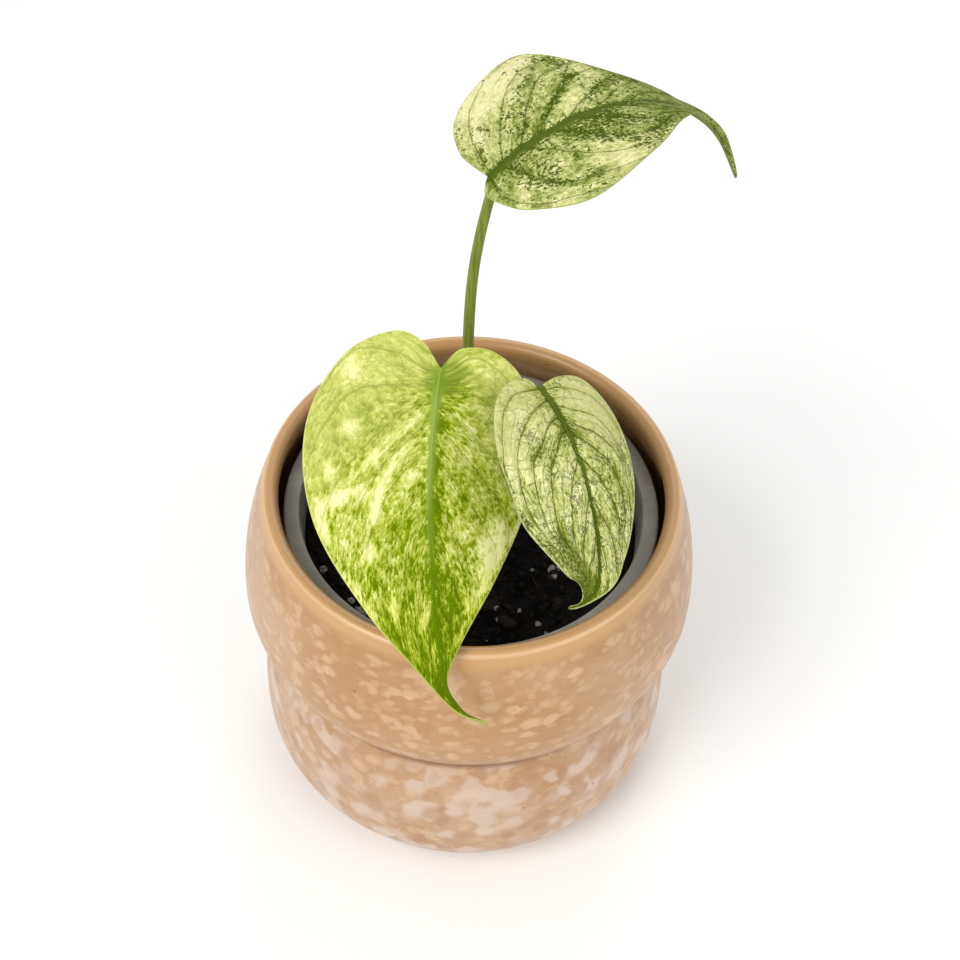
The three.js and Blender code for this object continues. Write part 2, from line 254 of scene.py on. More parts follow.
# A plain floor, even light from all round, and square lights aimed at the middle of the plant,
# each with its place, size, power and colour
FLOOR_REACH = 6000
ROOM_LIGHT = 0.57
LIGHT_AIM = (0, 0, 90)
LIGHTS = {
    "key": ((-450, -500, 800), 500, 5.6, (1, 0.985, 0.96)),
    "fill": ((600, -400, 500), 600, 1.7, (1, 0.99, 0.97)),
    "back": ((100, 700, 600), 500, 1.8, (1, 1, 1)),
}

# Colours of the plain materials, the first of each as the base for the rest. In the glaze, the under-bulge
# colour, the crease line and the foot colour are painted shade, and the ridge colour is a painted highlight
GLAZE = SimpleNamespace(
    clay=0xB0814F, cloud=0xBB9063, dusk=0xA9784E, oval=0xD6B088, fleck=0xD8B48E,
    veil=0xC5A68E, pale_blot=0xD3BCAC, dark_blot=0xA8764E, under_bulge_shade=0x9A6A40,
    crease=0x7E5535, foot=0x8E6444, inside=0xB18653, lip=0xC79A66, ridge=0xE4C096,
    pit=0x6A4A2E, bare=0xD0C3B2,
)
PLASTIC = SimpleNamespace(grey=0x77736A, dust=0x8C877D, soiled=0x3A342B)
EARTH = SimpleNamespace(dark=0x060402, fine=0x130D07, broad=0x0A0603)
STALK = SimpleNamespace(green=0x5E6E14, streak=0x7C8A30, pale=0xA3AC62, base=0x6E6A3E)
FLOOR = SimpleNamespace(pale=0xFAFAF9, cloud=0xFDFDFC)

# Each leaf has the same form as its solid. Heading and droop are the midrib's direction at the
# base, its change to the tip and its further change in the tail; roll is the first two of these.
# Left and right are the halves' outlines on the flat pattern, as [across, along], and veins are the
# side veins of each half from the base to the tip.
LEAVES = {
    "large": {
        "slot": "lime_leaf",
        "length": 92,
        "base": (-8.2, -7.4, 150),
        "heading": (-7, 32, 101),
        "droop": (28, 35.5, -7.5),
        "roll": (-23, -9),
        "tail": (0.72, 0.24),
        "fold": 1.5,
        "cup": 16,
        "left": [[1.4, 0], [4.4, -4.7], [11.7, -6], [21.5, 1.2], [28.3, 15.7],
                 [26.8, 33.2], [16.7, 51.6], [4.4, 70], [2.2, 81], [0.5, 92]],
        "right": [[1.4, 0], [3.8, -5.4], [12.4, -6.9], [21.4, -1.1], [25.8, 15.7],
                  [26.3, 33.2], [17.5, 51.6], [1.9, 70], [2, 81], [0.5, 92]],
        "veins_left": [
            [[-1.2, 1], [-7.6, -0.8], [-13.6, -1.2], [-20, 0.5], [-25, 8]],
            [[-1, 4.1], [-7.4, 5.3], [-14.6, 6.8], [-20.9, 10.5], [-25, 17]],
            [[-1.4, 7.6], [-6.7, 11.2], [-13.7, 17.5], [-19.4, 24], [-24, 31.5]],
            [[-1.2, 13.1], [-7.2, 18.7], [-12.9, 25.3], [-16.8, 31.7], [-20.3, 40]],
            [[-0.7, 18.2], [-5.8, 23.3], [-10.6, 29.7], [-14.3, 37.5], [-17, 46]],
            [[-0.3, 25.1], [-4.8, 31.7], [-8.6, 38.7], [-11.8, 47.6], [-12.5, 54]],
            [[-0.3, 33], [-4, 40], [-6.8, 49], [-8, 59]],
            [[-0.3, 42], [-3, 49], [-5, 58], [-4.6, 67]],
            [[-0.3, 52], [-2, 60], [-2.5, 69]],
        ],
        "veins_right": [
            [[0.8, 0.7], [6, -3.7], [12.9, -3.6], [17.4, -0.8], [22, 7]],
            [[1.7, 5], [6, 4.4], [12, 5.2], [17.5, 9], [22, 17]],
            [[1.5, 8.5], [6, 11], [12, 15.5], [19, 22.5], [24, 30]],
            [[1.3, 12.8], [7.4, 18.2], [13.4, 23.5], [19.5, 30.5], [22.5, 37]],
            [[1.4, 19.8], [7.6, 27], [13.2, 34], [17.8, 42.4]],
            [[1.2, 28.5], [6, 36.6], [10.1, 45.7], [12.6, 54.9]],
            [[0.8, 37], [4.4, 45], [7.3, 54], [8, 62]],
            [[0.8, 47], [3.4, 55], [4.6, 64]],
            [[0.6, 57], [2, 66], [1.6, 72]],
        ],
        "rib_rise": 0.38,
        "quilt": 0.34,
        "groove": 0.1,
    },
    "small": {
        "slot": "mint_leaf",
        "length": 58.5,
        "base": (14.4, -7.6, 146),
        "heading": (38.5, -40.4, -114.2),
        "droop": (14, 46.6, -11.8),
        "roll": (-19, -19),
        "tail": (0.74, 0.24),
        "fold": 7.4,
        "cup": 29.6,
        "left": [[1, 0], [2.6, -3.1], [8.8, -3], [15.2, 1.4], [19.6, 11.1],
                 [20.3, 21.6], [18.3, 32.8], [7.6, 46.4], [0.9, 53.5], [0.5, 58.5]],
        "right": [[1, 0], [2.4, -0.6], [8.8, -0.9], [15.6, 1.4], [20.7, 9.6],
                  [19.2, 21.2], [12.6, 34.6], [7.2, 43.6], [1.3, 50.4], [0.5, 58.5]],
        "veins_left": [
            [[-0.6, 0.3], [-5, -0.2], [-9, 0.1], [-12, 1.8], [-14.8, 4.6], [-16.8, 8], [-18.8, 13]],
            [[-1, 3.7], [-5, 5], [-8.5, 6.6], [-11, 8.5], [-13.5, 11], [-15.5, 13.8], [-17, 18],
             [-17.5, 24], [-17, 29], [-14.6, 34], [-11.5, 38]],
            [[-0.8, 8.4], [-5, 10], [-8, 12.8], [-10.5, 15], [-13, 17.6], [-14.2, 22], [-14.2, 28],
             [-12.7, 34]],
            [[-0.8, 12], [-3, 13.2], [-5, 15], [-7, 17.5], [-8.8, 19.6], [-10.2, 22.5], [-10.9, 27],
             [-11, 31], [-10, 35.5], [-7.4, 40.6], [-5.6, 44]],
            [[-0.7, 19.2], [-2.6, 21.4], [-4.6, 24.2], [-6, 27.4], [-6.8, 32], [-6.8, 37], [-5.8, 41]],
            [[-0.3, 27.4], [-2.3, 31], [-3.7, 35], [-4.6, 39.5], [-4.4, 44]],
            [[-0.2, 36], [-1.8, 41], [-2.4, 47]],
        ],
        "veins_right": [
            [[0.7, 1], [4, 1.5], [8, 2.5], [12.5, 4.5], [15.2, 6.6], [17.6, 9.4], [18.6, 13]],
            [[0.8, 5.6], [4.5, 7.6], [8.2, 9.1], [11, 10.9], [13.2, 13.5], [15, 17], [15.8, 20.5],
             [15.4, 25]],
            [[0.7, 9], [3, 11], [6, 13], [10, 16], [12.5, 18.6], [13.6, 22], [13, 27]],
            [[0.7, 12.4], [3, 14.9], [5, 16.9], [7, 18.9], [8.8, 21], [10, 24.5], [10.3, 28], [9.7, 32],
             [8.4, 37]],
            [[0.8, 19], [2.5, 21.8], [4.2, 24.6], [5.7, 27.8], [6.7, 31], [7.2, 35], [6.6, 39.5]],
            [[0.6, 29], [1.8, 31.4], [3.2, 34.6], [4.3, 38], [5, 41.5], [4.7, 45]],
            [[0.4, 38], [1.8, 42.5], [2.4, 47.5]],
        ],
        "rib_rise": -0.3,
        "quilt": 0.5,
        "groove": 0.18,
    },
    "tall": {
        "slot": "cream_leaf",
        "length": 75.5,
        "base": (0.1, 4.2, 195),
        "heading": (120, 5.9, -95.9),
        "droop": (-37.6, 105.4, -24.9),
        "roll": (-7, -2),
        "tail": (0.72, 0.19),
        "fold": 7.4,
        "cup": 8.5,
        "left": [[0.9, 0], [4.1, -2.5], [9.7, -1.5], [18.6, 2.9], [26.3, 12.7],
                 [21.6, 27.5], [12.4, 40.4], [1.9, 58.5], [0.9, 65.7], [0.5, 75.5]],
        "right": [[0.9, 0], [4.3, -0.5], [9.8, -1.5], [18.5, 1.8], [24, 12.7],
                  [25.7, 26.2], [11.2, 41.2], [3.3, 58.2], [1.5, 66.4], [0.5, 75.5]],
        "veins_left": [
            [[-0.5, 0.1], [-8.3, -0.2], [-14.6, 2], [-19.4, 5], [-23, 10]],
            [[-0.6, 3.6], [-7, 5.6], [-13, 7.6], [-17.4, 9.8], [-20.4, 13], [-22, 18]],
            [[-1, 9.6], [-8, 13.6], [-13, 16.6], [-17, 20.6], [-19, 26]],
            [[-1, 16], [-6, 19.5], [-10.5, 22.5], [-14, 25.5], [-14.8, 29.5], [-13.2, 35], [-10.5, 39.5]],
            [[-1, 23], [-5, 26.5], [-8.5, 30.5], [-10, 35], [-9, 40]],
            [[-0.6, 31], [-4, 35], [-6.5, 40], [-6.4, 45]],
            [[-0.4, 39], [-2.6, 44], [-3.8, 51]],
        ],
        "veins_right": [
            [[0.4, 0.8], [5, 1.4], [10, 2.1], [14, 3.6], [18, 6.1], [21.8, 11]],
            [[0.6, 4.6], [5, 6.8], [10, 9.9], [14.5, 13.2], [18, 16.8], [20.4, 21], [21, 26]],
            [[0.5, 9.4], [4, 12.4], [8, 15.3], [11.6, 18.4], [14.6, 21.8], [16.4, 25], [17.2, 30]],
            [[0.4, 14], [3, 17], [6, 20.5], [9, 24], [11.5, 27.6], [13.2, 32]],
            [[0.4, 21], [2.5, 24.6], [5, 29], [8, 34.2], [10.4, 39]],
            [[0.4, 28.5], [2.5, 32.2], [5, 36.6], [7.4, 42]],
            [[0.4, 37], [2.6, 43], [4.2, 50]],
        ],
        "rib_rise": -0.25,
        "quilt": 0.3,
        "groove": 0.12,
    },
}

# Each leaf's stalk: its radii at both ends, its way up from the stem, the direction in which it
# arrives and how far inside the blade's base it ends
STALKS = {
    "large": {
        "radii": (1.6, 1.15),
        "path": [[-3, 2.5, 93], [-6.2, -0.2, 104], [-8.8, -1.4, 122], [-9.6, -3, 138]],
        "arrival": (0.1, -0.6, 0.8),
        "inset": 2.2,
    },
    "small": {
        "radii": (1.35, 0.95),
        "path": [[1, 4, 90], [7, 3.6, 101], [14.2, 2.4, 117], [17.4, 0, 133]],
        "arrival": (-0.3, -0.6, 0.75),
        "inset": 1.8,
    },
    "tall": {
        "radii": (1.5, 1.05),
        "path": [[-1.5, 4.5, 99.5], [-1.9, 4.6, 125], [-2.4, 4.5, 150], [-1.9, 4.5, 167],
                 [-0.5, 4.4, 180]],
        "arrival": (0.3, 0.1, 1),
        "inset": 3,
    },
}

# How each blade is coloured, for the large, the small and the tall leaf
TONES = {
    "base": (0x648000, 0x6C7A22, 0x546608),
    # Mottling: the shares of its sizes, and where it grows bolder, as (from, to, gain)
    "fine": (1.6, 1.2, 1.1),
    "medium": (0.8, 0.8, 0.8),
    "coarse": (0.35, 0.4, 0.5),
    "mosaic": (0.24, 0.14, 0.16),
    "streak": (0.62, 0.8, 0.8),
    "grain": (1.8, 1.5, 1.2),
    "bold": ((30, 55, 0.3), (6, 22, 0.25), (0, 20, 0.1)),
    # What pale and dark patches and the halo along veins do to it, and the warm cast of calm ones
    "pale_gain": (0.43, 0.16, 0.26),
    "dark_gain": (0.24, 0.17, 0.1),
    "halo_gain": (0.03, 0.08, 0.06),
    "warm": (0xDDDC92, 0xC6BC84, 0xDED8A6),
    # Dark speckles
    "speck": (0x5E7406, 0x4C5A10, 0x3E5202),
    "speck_level": (0.74, 0.64, 0.615),
    "speck_strength": (0.6, 0.78, 0.94),
    "speck_dark": (0.1, 0.1, 0.16),
    "blots": (0, 0.25, 0.85),
    # Side veins, the fainter ones halfway between them, and the net
    "vein": (0x84873A, 0x465408, 0x42560A),
    "vein_strength": (0.36, 0.95, 0.78),
    "vein_calm": (0.16, -0.2, -0.1),
    "vein_width": (0.13, 0.125, 0.13),
    "broken": (0.36, 0.42, 0.42),
    "halfway": (0.35, 0.6, 0.5),
    "net": (0.1, 0.75, 0.3),
    "net_calm": (0.5, -0.45, -0.2),
    # The midrib
    "midrib": (0x93AC46, 0x5A6A20, 0x465C0E),
    "midrib_far": (0x668600, 0x4F6010, 0x5A6824),
    "far_from": ((22, 50), (18, 34), (32, 44)),
    "midrib_width": (1.25, 0.82, 1),
    "midrib_tip": (0.42, 0.38, 0.35),
    "midrib_swell": (0, 0.5, 1),
    "midrib_soft": (0.5, 0.35, 0.45),
    "midrib_side": (0.1, 0, -0.7),
    "feather": (1.9, 1.5, 3.4),
    "centre": (0xBCCB78, 0x7F9348, 0x54702A),
    # The tip, its shade as (from, to, gain), the edge and the underside
    "tip_shade": ((38, 62, 0.08), (42, 52, 0.14), (30, 44, 0.12)),
    "tip_tint": (0xF0F4B4, 0xFFFFFF, 0xE0E6D2),
    "edge": (0xD9DD90, 0xC9CF96, 0xA6AC66),
    "under": (0xA9B768, 0xAFBB80, 0x8F9B58),
}

# The further bands of each blade, as the level of the mottling where a band starts and its colour
BANDS = {
    "large": {0.27: 0x859B08, 0.38: 0xA4B436, 0.49: 0xC1CB5C, 0.62: 0xDCE282, 0.78: 0xF6F8B0},
    "small": {0.24: 0x97A24C, 0.34: 0xBAC26E, 0.44: 0xCED388, 0.57: 0xDEE19C, 0.71: 0xEFF1B4},
    "tall": {0.24: 0x76853A, 0.34: 0x97A254, 0.44: 0xB5BC72, 0.55: 0xCFD18A, 0.67: 0xE8E5AA},
}

# Patches of the upper side: pale ones, dark ones and ones where the veins are calm, each as
# [across, along, half width, half length, turn, strength]. The first number says how steeply they
# fade, the second how flat their middle is.
PATCH_FADE = 0.8
PATCH_FLATNESS = 1.5
PATCHES = {
    "large": {
        "pale": [
            [-19.8, 4, 2.2, 3.2, 15, 0.85], [-18.6, 15.5, 2, 1.6, 0, 0.8],
            [-22.8, 24.5, 1.3, 1.6, 0, 0.6], [-20.5, 29, 1.2, 4.8, 68, 0.85],
            [-24.6, 33.5, 1.2, 3.8, -8, 0.9], [-12.6, 31.3, 1.2, 3.8, 10, 1],
            [-15, 28.8, 1.4, 1.4, 0, 0.7], [-10.8, 25.6, 1.2, 4, 35, 0.7], [-7.2, 20, 1.2, 5, 42, 0.48],
            [-9.8, 17.6, 1.1, 5.5, 45, 0.42], [-14.5, 22, 0.8, 3.5, 50, 0.35],
            [-4.6, 13, 0.7, 4, 42, 0.5], [-4.5, 25, 0.8, 4, 30, 0.42], [-15, 40.5, 1.3, 2.6, 20, 0.65],
            [-20, 37, 0.9, 2, 20, 0.4], [-18, 47.5, 1, 3, -30, 0.8], [-15.8, 52, 1, 3, -30, 0.7],
            [-10.3, 52, 0.9, 2.6, 0, 0.7], [-2.8, 55, 1.3, 2.6, 15, 0.85], [-1.4, 64, 0.8, 3, 10, 0.95],
            [-3.2, 60.5, 0.7, 1.6, 0, 0.5], [3.4, 7.8, 2.4, 0.7, 12, 0.5], [18.4, 37, 2.4, 3.6, -20, 0.7],
            [24.3, 37.5, 0.9, 3.4, 20, 0.9], [15.2, 41, 1.8, 4, 5, 0.9], [17, 45.5, 2.4, 6.5, 20, 1],
            [12.8, 42, 0.8, 3.6, 0, 0.7], [12.5, 53.5, 1.2, 3, 30, 0.8], [9, 55, 0.8, 2.2, 10, 0.5],
            # The wide faint pale patch at (9, 17) is painted light, lifting the shadow that the small leaf
            # casts there
            [6, 62, 0.9, 3.5, 45, 0.7], [9, 17, 6, 7, 0, 0.28], [12, -3, 8, 3, 0, 0.27],
            [-10, -2, 8, 4, 0, 0.17],
        ],
        "dark": [
            [3, 2.6, 3.4, 4, 0, 1], [6.4, -0.8, 3, 1.4, 15, 0.8], [-1.6, 4, 1.4, 5, 0, 0.5],
            [2.6, 11, 1.5, 3.6, 0, 0.5], [1.6, 25, 1.3, 14, 0, 0.85], [-1.2, 34, 1.2, 6, 0, 0.6],
            [2.2, 34, 1.8, 8, 0, 0.5], [0.5, 47, 2.4, 13, 0, 0.8], [6, 24, 1, 6, -35, 0.3],
            [9.4, 27, 1.6, 5, -40, 0.3], [13, 36, 1.5, 6, -25, 0.3], [0, 72, 5, 12, 0, 1],
            [-11, 60, 2.5, 9, -32, 0.7], [-19, 43, 1.2, 3, -30, 0.4], [-6, 36, 3, 6, 20, 0.3],
            [-12.5, 17.5, 0.7, 5, 48, 0.4], [-16, 12, 1.5, 5, 60, 0.3], [5, 54, 3.2, 9, 0, 0.8],
            [-7, 48, 2, 6, 0, 0.4],
        ],
        "calm": [
            [-12, -2, 15, 8, 0, 1], [-23, 9, 7, 13, 0, 0.9], [-26, 23, 4, 8, 0, 0.6],
            [15, -2, 9, 6, 0, 0.8], [20, 5, 7, 11, 0, 0.7], [18, 14, 5, 8, -20, 0.4],
            [-12, 14, 8, 9, 30, 0.5],
        ],
    },
    "small": {
        "pale": [
            [10, 4.5, 6, 3, -20, 0.5], [13, 12, 4, 6, -20, 0.6], [-16.5, 16, 2.6, 5, 10, 0.9],
            [-13.5, 20.5, 2.5, 3, 0, 0.7], [-18.5, 22, 1.5, 6, 0, 0.6], [-15, 33, 2.2, 2, 0, 0.5],
            [-10, 4, 3, 3, 0, 0.4], [2.7, 25.5, 1, 4.5, -25, 0.5], [2.2, 37, 1.1, 4.5, -8, 0.35],
            [3, 44, 1, 4, -5, 0.2], [8.5, 40, 0.8, 5, 15, 0.55], [-8, 10, 3.5, 2.5, 0, 0.5],
            [-7, -1, 5, 1.6, 0, 0.5], [-13, 29, 2.5, 3, 0, 0.5], [-5, 24, 3, 5, 0, 0.3],
            [-2.6, 35, 1, 4, 10, 0.5], [8, 17, 1.5, 5, -50, 0.6], [12.6, 23, 1.8, 3, -20, 0.5],
        ],
        "dark": [
            [-0.8, 10, 2.2, 7, 0, 0.8], [1.8, 13, 1.5, 4, -30, 0.7], [-3, 12.5, 1.2, 4, 60, 0.6],
            [-12, 16.5, 1.2, 3.5, 55, 0.8], [-9.5, 19, 1.2, 4, 35, 0.5], [-10, 36, 1.8, 5, -15, 0.9],
            [-6, 43, 1.5, 6, -25, 0.9], [-13, 38, 1.2, 6, -40, 0.8], [-4, 48, 3, 5, -30, 0.8],
            [-18.6, 30, 1, 5, -15, 0.6], [-19.9, 18, 0.5, 6, 0, 0.8], [1.3, 33, 0.8, 1.5, 0, 0.7],
            [5, 42, 0.8, 4, -5, 0.6], [8, 34, 1.2, 4, 10, 0.4], [6.5, 20, 1, 3, -45, 0.5],
            [-5, 37, 1.2, 3, 0, 0.4], [0, 55, 2, 6, 0, 0.8], [0.6, 38, 0.8, 6, 0, 0.6],
            [7, 26, 5, 8, 0, 0.5], [13, 16, 5, 6, 0, 0.3], [-2, 1, 3, 5, 0, 0.4], [2.5, 1, 2, 4, 0, 0.3],
            [2.6, 38, 1.6, 6, 0, 0.5],
        ],
        "calm": [
            [12, 8, 8, 9, 0, 1], [-8, 2, 9, 6, 0, 0.6], [-17, 10, 4, 8, 0, 0.7], [3, 40, 1.6, 7, 0, 0.6],
        ],
    },
    "tall": {
        "pale": [
            [20, 6, 5, 5, 0, 0.9], [22, 14, 4, 6, 0, 0.9], [14, 8, 4, 4, 0, 0.6],
            [24, 22, 2.5, 4, 0, 0.7], [10, 3, 3, 2, 0, 0.5], [16.5, 14, 3, 3, 30, 0.6],
            [4.6, 24.5, 1.7, 4.5, -42, 0.85], [13, 34.5, 3.5, 2.5, -30, 0.8], [6, 38, 1.2, 4, -25, 0.5],
            [-20, 21.5, 4, 3, 10, 0.95], [-22.5, 8.6, 3, 2.6, 0, 0.6], [-15, 2.5, 4, 1.5, 15, 0.5],
            [-16.6, 17.6, 3, 1.3, 30, 0.6], [-11, 23.5, 2, 1.2, 0, 0.5], [-12, 13, 3, 1.2, 20, 0.4],
            [-16, 28, 1.2, 2.5, 0, 0.5],
        ],
        "dark": [
            [-1.5, 12, 1.8, 13, 0, 1], [-1.8, 28, 2.2, 8, 0, 1], [-5, 6, 3.5, 6, 0, 0.6],
            [-6, 20, 4, 5, 30, 0.8], [-12, 23.5, 2, 5, 58, 0.8], [-8, 24, 5, 6, 0, 0.4],
            [-8, 29, 4, 5, 0, 0.7], [-13.5, 34, 2, 6, -32, 0.7], [-20, 15.3, 1, 2.5, 80, 0.8],
            [-18, 10, 1, 4, 65, 0.6], [-11, 8, 4, 4, 20, 0.4], [-3, 40, 2, 6, 0, 0.6],
            [4.4, 11, 3, 2, -50, 0.6], [6, 20.5, 1, 8, -38, 1], [15.4, 19.6, 1, 5, -40, 0.6],
            [20, 29, 2.6, 1.8, -20, 0.9], [13, 29, 1.8, 2.5, -30, 0.8], [9, 12, 3, 3, 0, 0.3],
            [9.5, 6, 2, 0.8, 0, 0.7], [17.8, 7, 1.2, 0.7, 20, 0.9], [15.5, 16.5, 1.2, 0.8, 0, 0.8],
            [20.5, 16, 1, 0.6, 0, 0.8], [16.2, 20.6, 1.6, 0.9, 30, 0.9], [21, 20.5, 0.9, 0.6, 0, 0.8],
            [23, 26, 1.6, 1, 0, 0.7], [5.2, 1.8, 3, 0.5, 10, 0.7], [20.4, 5, 0.8, 0.5, 0, 0.9],
            [-17, 25.5, 2, 1, 30, 0.6], [-15.5, 30, 1.2, 3, -10, 0.5], [6, 33, 1.3, 5, -30, 0.8],
            [9, 40, 1.6, 5, -15, 0.5], [0, 56, 6, 12, 0, 0.45], [20, 10.8, 1.4, 0.5, 20, 1],
            [-21.8, 19.4, 1.4, 0.5, 10, 1],
        ],
        "calm": [
            [22, 12, 7, 12, 0, 0.9], [-22, 21, 5, 4, 0, 0.5], [0, 58, 9, 16, 0, 0.6],
            [6, 6, 4, 4, 0, 0.4],
        ],
    },
}

random.seed(SEED)
noise.seed_set(SEED)


def smooth_step(value):
    t = np.clip(value, 0, 1)
    return t * t * (3 - 2 * t)


def between(first, last, share):
    return first + (last - first) * share


def paint(code):
    """A colour written as 0xRRGGBB in display values, as the linear colour that shaders use."""
    channels = [(code >> shift & 255) / 255 for shift in (16, 8, 0)]
    linear = [c / 12.92 if c <= 0.04045 else ((c + 0.055) / 1.055) ** 2.4 for c in channels]
    return (*linear, 1)


class Value:
    """The output of a shader node. Its sums, products and methods add further nodes."""

    def __init__(self, look, socket):
        self.look = look
        self.socket = socket

    def __add__(self, other):
        return self.look.math("ADD", self, other)

    def __sub__(self, other):
        return self.look.math("SUBTRACT", self, other)

    def __mul__(self, other):
        return self.look.math("MULTIPLY", self, other)

    def __abs__(self):
        return self.look.math("ABSOLUTE", self)

    def larger(self, other):
        return self.look.math("MAXIMUM", self, other)

    def step(self, low, high):
        """0 where the value is under low, 1 over high, and smooth between; low may be over high."""
        limits = {"Value": self, "From Min": low, "From Max": high}
        return self.look.node("MapRange", limits, interpolation_type="SMOOTHSTEP")

    def parts(self):
        first = self.look.node("SeparateXYZ", {0: self})
        return [Value(self.look, socket) for socket in first.socket.node.outputs]

    def stretched(self, x, y, z=1):
        return self.look.node("VectorMath", {0: self, 1: (x, y, z)}, operation="MULTIPLY")

    def moved(self, push):
        return self.look.node("VectorMath", {0: self, 1: push}, operation="ADD")

    def noise(self, detail=2, roughness=0.5):
        settings = {"Vector": self, "Scale": 1, "Detail": detail, "Roughness": roughness}
        return self.look.node("TexNoise", settings)

    def cells(self, output="Distance", feature="F1"):
        return self.look.node("TexVoronoi", {"Vector": self, "Scale": 1}, output, feature=feature)


class Look:
    """A procedural material, painted in coats over a base colour."""

    def __init__(self, name, base, **fixed):
        self.material = bpy.data.materials.new(name)
        self.material.use_nodes = True
        self.tree = self.material.node_tree
        self.surface = self.tree.nodes["Principled BSDF"]
        self.colour = base
        for socket, value in fixed.items():
            self.feed(self.surface.inputs[socket.replace("_", " ")], value)

    def feed(self, socket, value):
        if isinstance(value, Value):
            self.tree.links.new(value.socket, socket)
        else:
            socket.default_value = value

    def node(self, kind, inputs, output=0, **settings):
        """Adds a shader node with inputs by name or place, and returns one of its outputs."""
        made = self.tree.nodes.new("ShaderNode" + kind)
        for key, value in settings.items():
            setattr(made, key, value)
        for key, value in inputs.items():
            self.feed(made.inputs[key], value)
        return Value(self, made.outputs[output])

    def math(self, operation, *values):
        return self.node("Math", dict(enumerate(values)), operation=operation)

    def mix(self, share, first, second, blend="MIX"):
        """Two colours, each a code or a value, mixed or multiplied to a share."""
        first, second = (paint(colour) if isinstance(colour, int) else colour for colour in (first, second))
        return self.node("Mix", {0: share, 6: first, 7: second}, 2, data_type="RGBA", blend_type=blend)

    def coat(self, colour, share, blend="MIX"):
        """Lays a colour over the coats below, to a share."""
        self.colour = self.mix(share, self.colour, colour, blend)
        self.feed(self.surface.inputs["Base Color"], self.colour)

    def rough(self, value):
        self.feed(self.surface.inputs["Roughness"], value)

    def bump(self, height, distance):
        """Fine relief: height 1 stands out by distance, in millimetres."""
        relief = self.node("Bump", {"Distance": distance * MM, "Height": height})
        self.feed(self.surface.inputs["Normal"], relief)

    def attribute(self, name):
        return self.node("Attribute", {}, "Vector", attribute_name=name)

    def place(self, level=1, upright=None):
        """The point on the piece, in millimetres, stretched in the level plane and upright."""
        upright = level if upright is None else upright
        return self.node("TexCoord", {}, "Object").stretched(level / MM, level / MM, upright / MM)


def glaze():
    """Tan glaze, mottled with soft paler ovals below the rim, with painted shade under the upper bulge, in
    the crease and towards the foot, a painted highlight along the lip's outer edge, and bare clay under the
    foot.
    """
    look = Look("tan_glaze", GLAZE.clay, Coat_Weight=0.25, Coat_Roughness=0.25)
    top, crease, lip = COVER.height, COVER.crease_height, COVER.lip_radius
    height = look.place().parts()[2]
    radius = look.node("VectorMath", {0: look.place(1, 0)}, "Value", operation="LENGTH")
    clouds = look.place(0.03, 0.045).noise(3, 0.55)
    wander = look.place(0.3).noise()
    below_rim = height.step(top - 2.5, top - 7)
    low = height.step(crease + 4.5, crease - 9.5)
    look.coat(GLAZE.cloud, clouds.step(0.32, 0.68))

    spots = look.place(0.21, 0.3).moved(wander * 0.5)
    tone, apart = spots.cells("Color").parts(), spots.cells()
    look.coat(GLAZE.dusk, tone[2].step(0.5, 0.8) * apart.step(0.8, 0.3) * 0.35)
    oval = tone[0].step(0.4, 0.75) * apart.step(0.68, 0.36)
    look.coat(GLAZE.oval, oval * below_rim * wander.step(0.25, 0.55) * 0.62)
    flecks = spots.stretched(1.8, 1.8, 1.8)
    fleck = flecks.cells("Color").parts()[1].step(0.5, 0.9) * flecks.cells().step(0.7, 0.3)
    look.coat(GLAZE.fleck, fleck * below_rim * 0.35)

    veil = clouds + low * 0.16 + (wander - 0.5) * 0.3
    look.coat(GLAZE.veil, veil.step(0.46, 0.76) * below_rim * 0.36)
    blot = spots.stretched(1.05, 1.05, 0.7).cells("Color", "SMOOTH_F1").parts()
    look.coat(GLAZE.pale_blot, blot[0].step(0.34, 0.74) * low * 0.7)
    look.coat(GLAZE.dark_blot, blot[1].step(0.42, 0.82) * low * 0.55)

    # Painted shade on the underside of the upper bulge, deepest just above the crease
    under_bulge_shade = height.step(crease + 13, crease + 4) * height.step(crease - 2.2, crease - 0.6)
    look.coat(GLAZE.under_bulge_shade, under_bulge_shade * 0.4)
    # A thin dark line just under the crease, where the upper bulge overhangs the lower: a painted shadow
    groove = height.step(crease - 4.6, crease - 2.8) * height.step(crease + 1.4, crease)
    look.coat(GLAZE.crease, groove * 0.8)
    # Darker towards the foot: painted shade
    look.coat(GLAZE.foot, height.step(16, 2) * 0.3)
    rim = look.mix(radius.step(lip - 1, lip + 1.1), GLAZE.inside, GLAZE.lip)
    # A pale line along the lip's outer top edge: a painted highlight, together with the glaze thinning
    # there
    ridge = abs(radius - (lip + 1.4)).step(0.5, 0.15) * height.step(top - 2, top - 1)
    look.coat(look.mix(ridge * 0.6, rim, GLAZE.ridge), height.step(top - 5.5, top - 2.5))
    look.coat(GLAZE.pit, look.place(0.09).cells().step(0.055, 0.03) * 0.7)

    facing = look.node("NewGeometry", {}, "Normal").parts()[2]
    bare = facing.step(-0.7, -0.95) * height.step(2.4, 0.8)
    look.coat(GLAZE.bare, bare)
    look.rough(clouds * 0.16 + bare * 0.5 + 0.3)
    look.bump(look.place(0.35).noise(3), 0.05)
    return look.material


def grey_plastic():
    """Matte moulded plastic with dust, soiled below the rim."""
    look = Look("grey_plastic", PLASTIC.grey)
    height = look.place().parts()[2]
    dust = look.place(0.12, 0.25).noise(4, 0.6)
    look.coat(PLASTIC.dust, dust.step(0.4, 0.72))
    rubbed = height.step(NURSERY.rim_height - NURSERY.rim_thickness, SOIL.level)
    look.coat(PLASTIC.soiled, rubbed * dust.step(0.35, 0.6) * 0.8)
    look.rough(dust * 0.25 + 0.4)
    look.bump(look.place(3).noise(3, 0.6), 0.04)
    return look.material


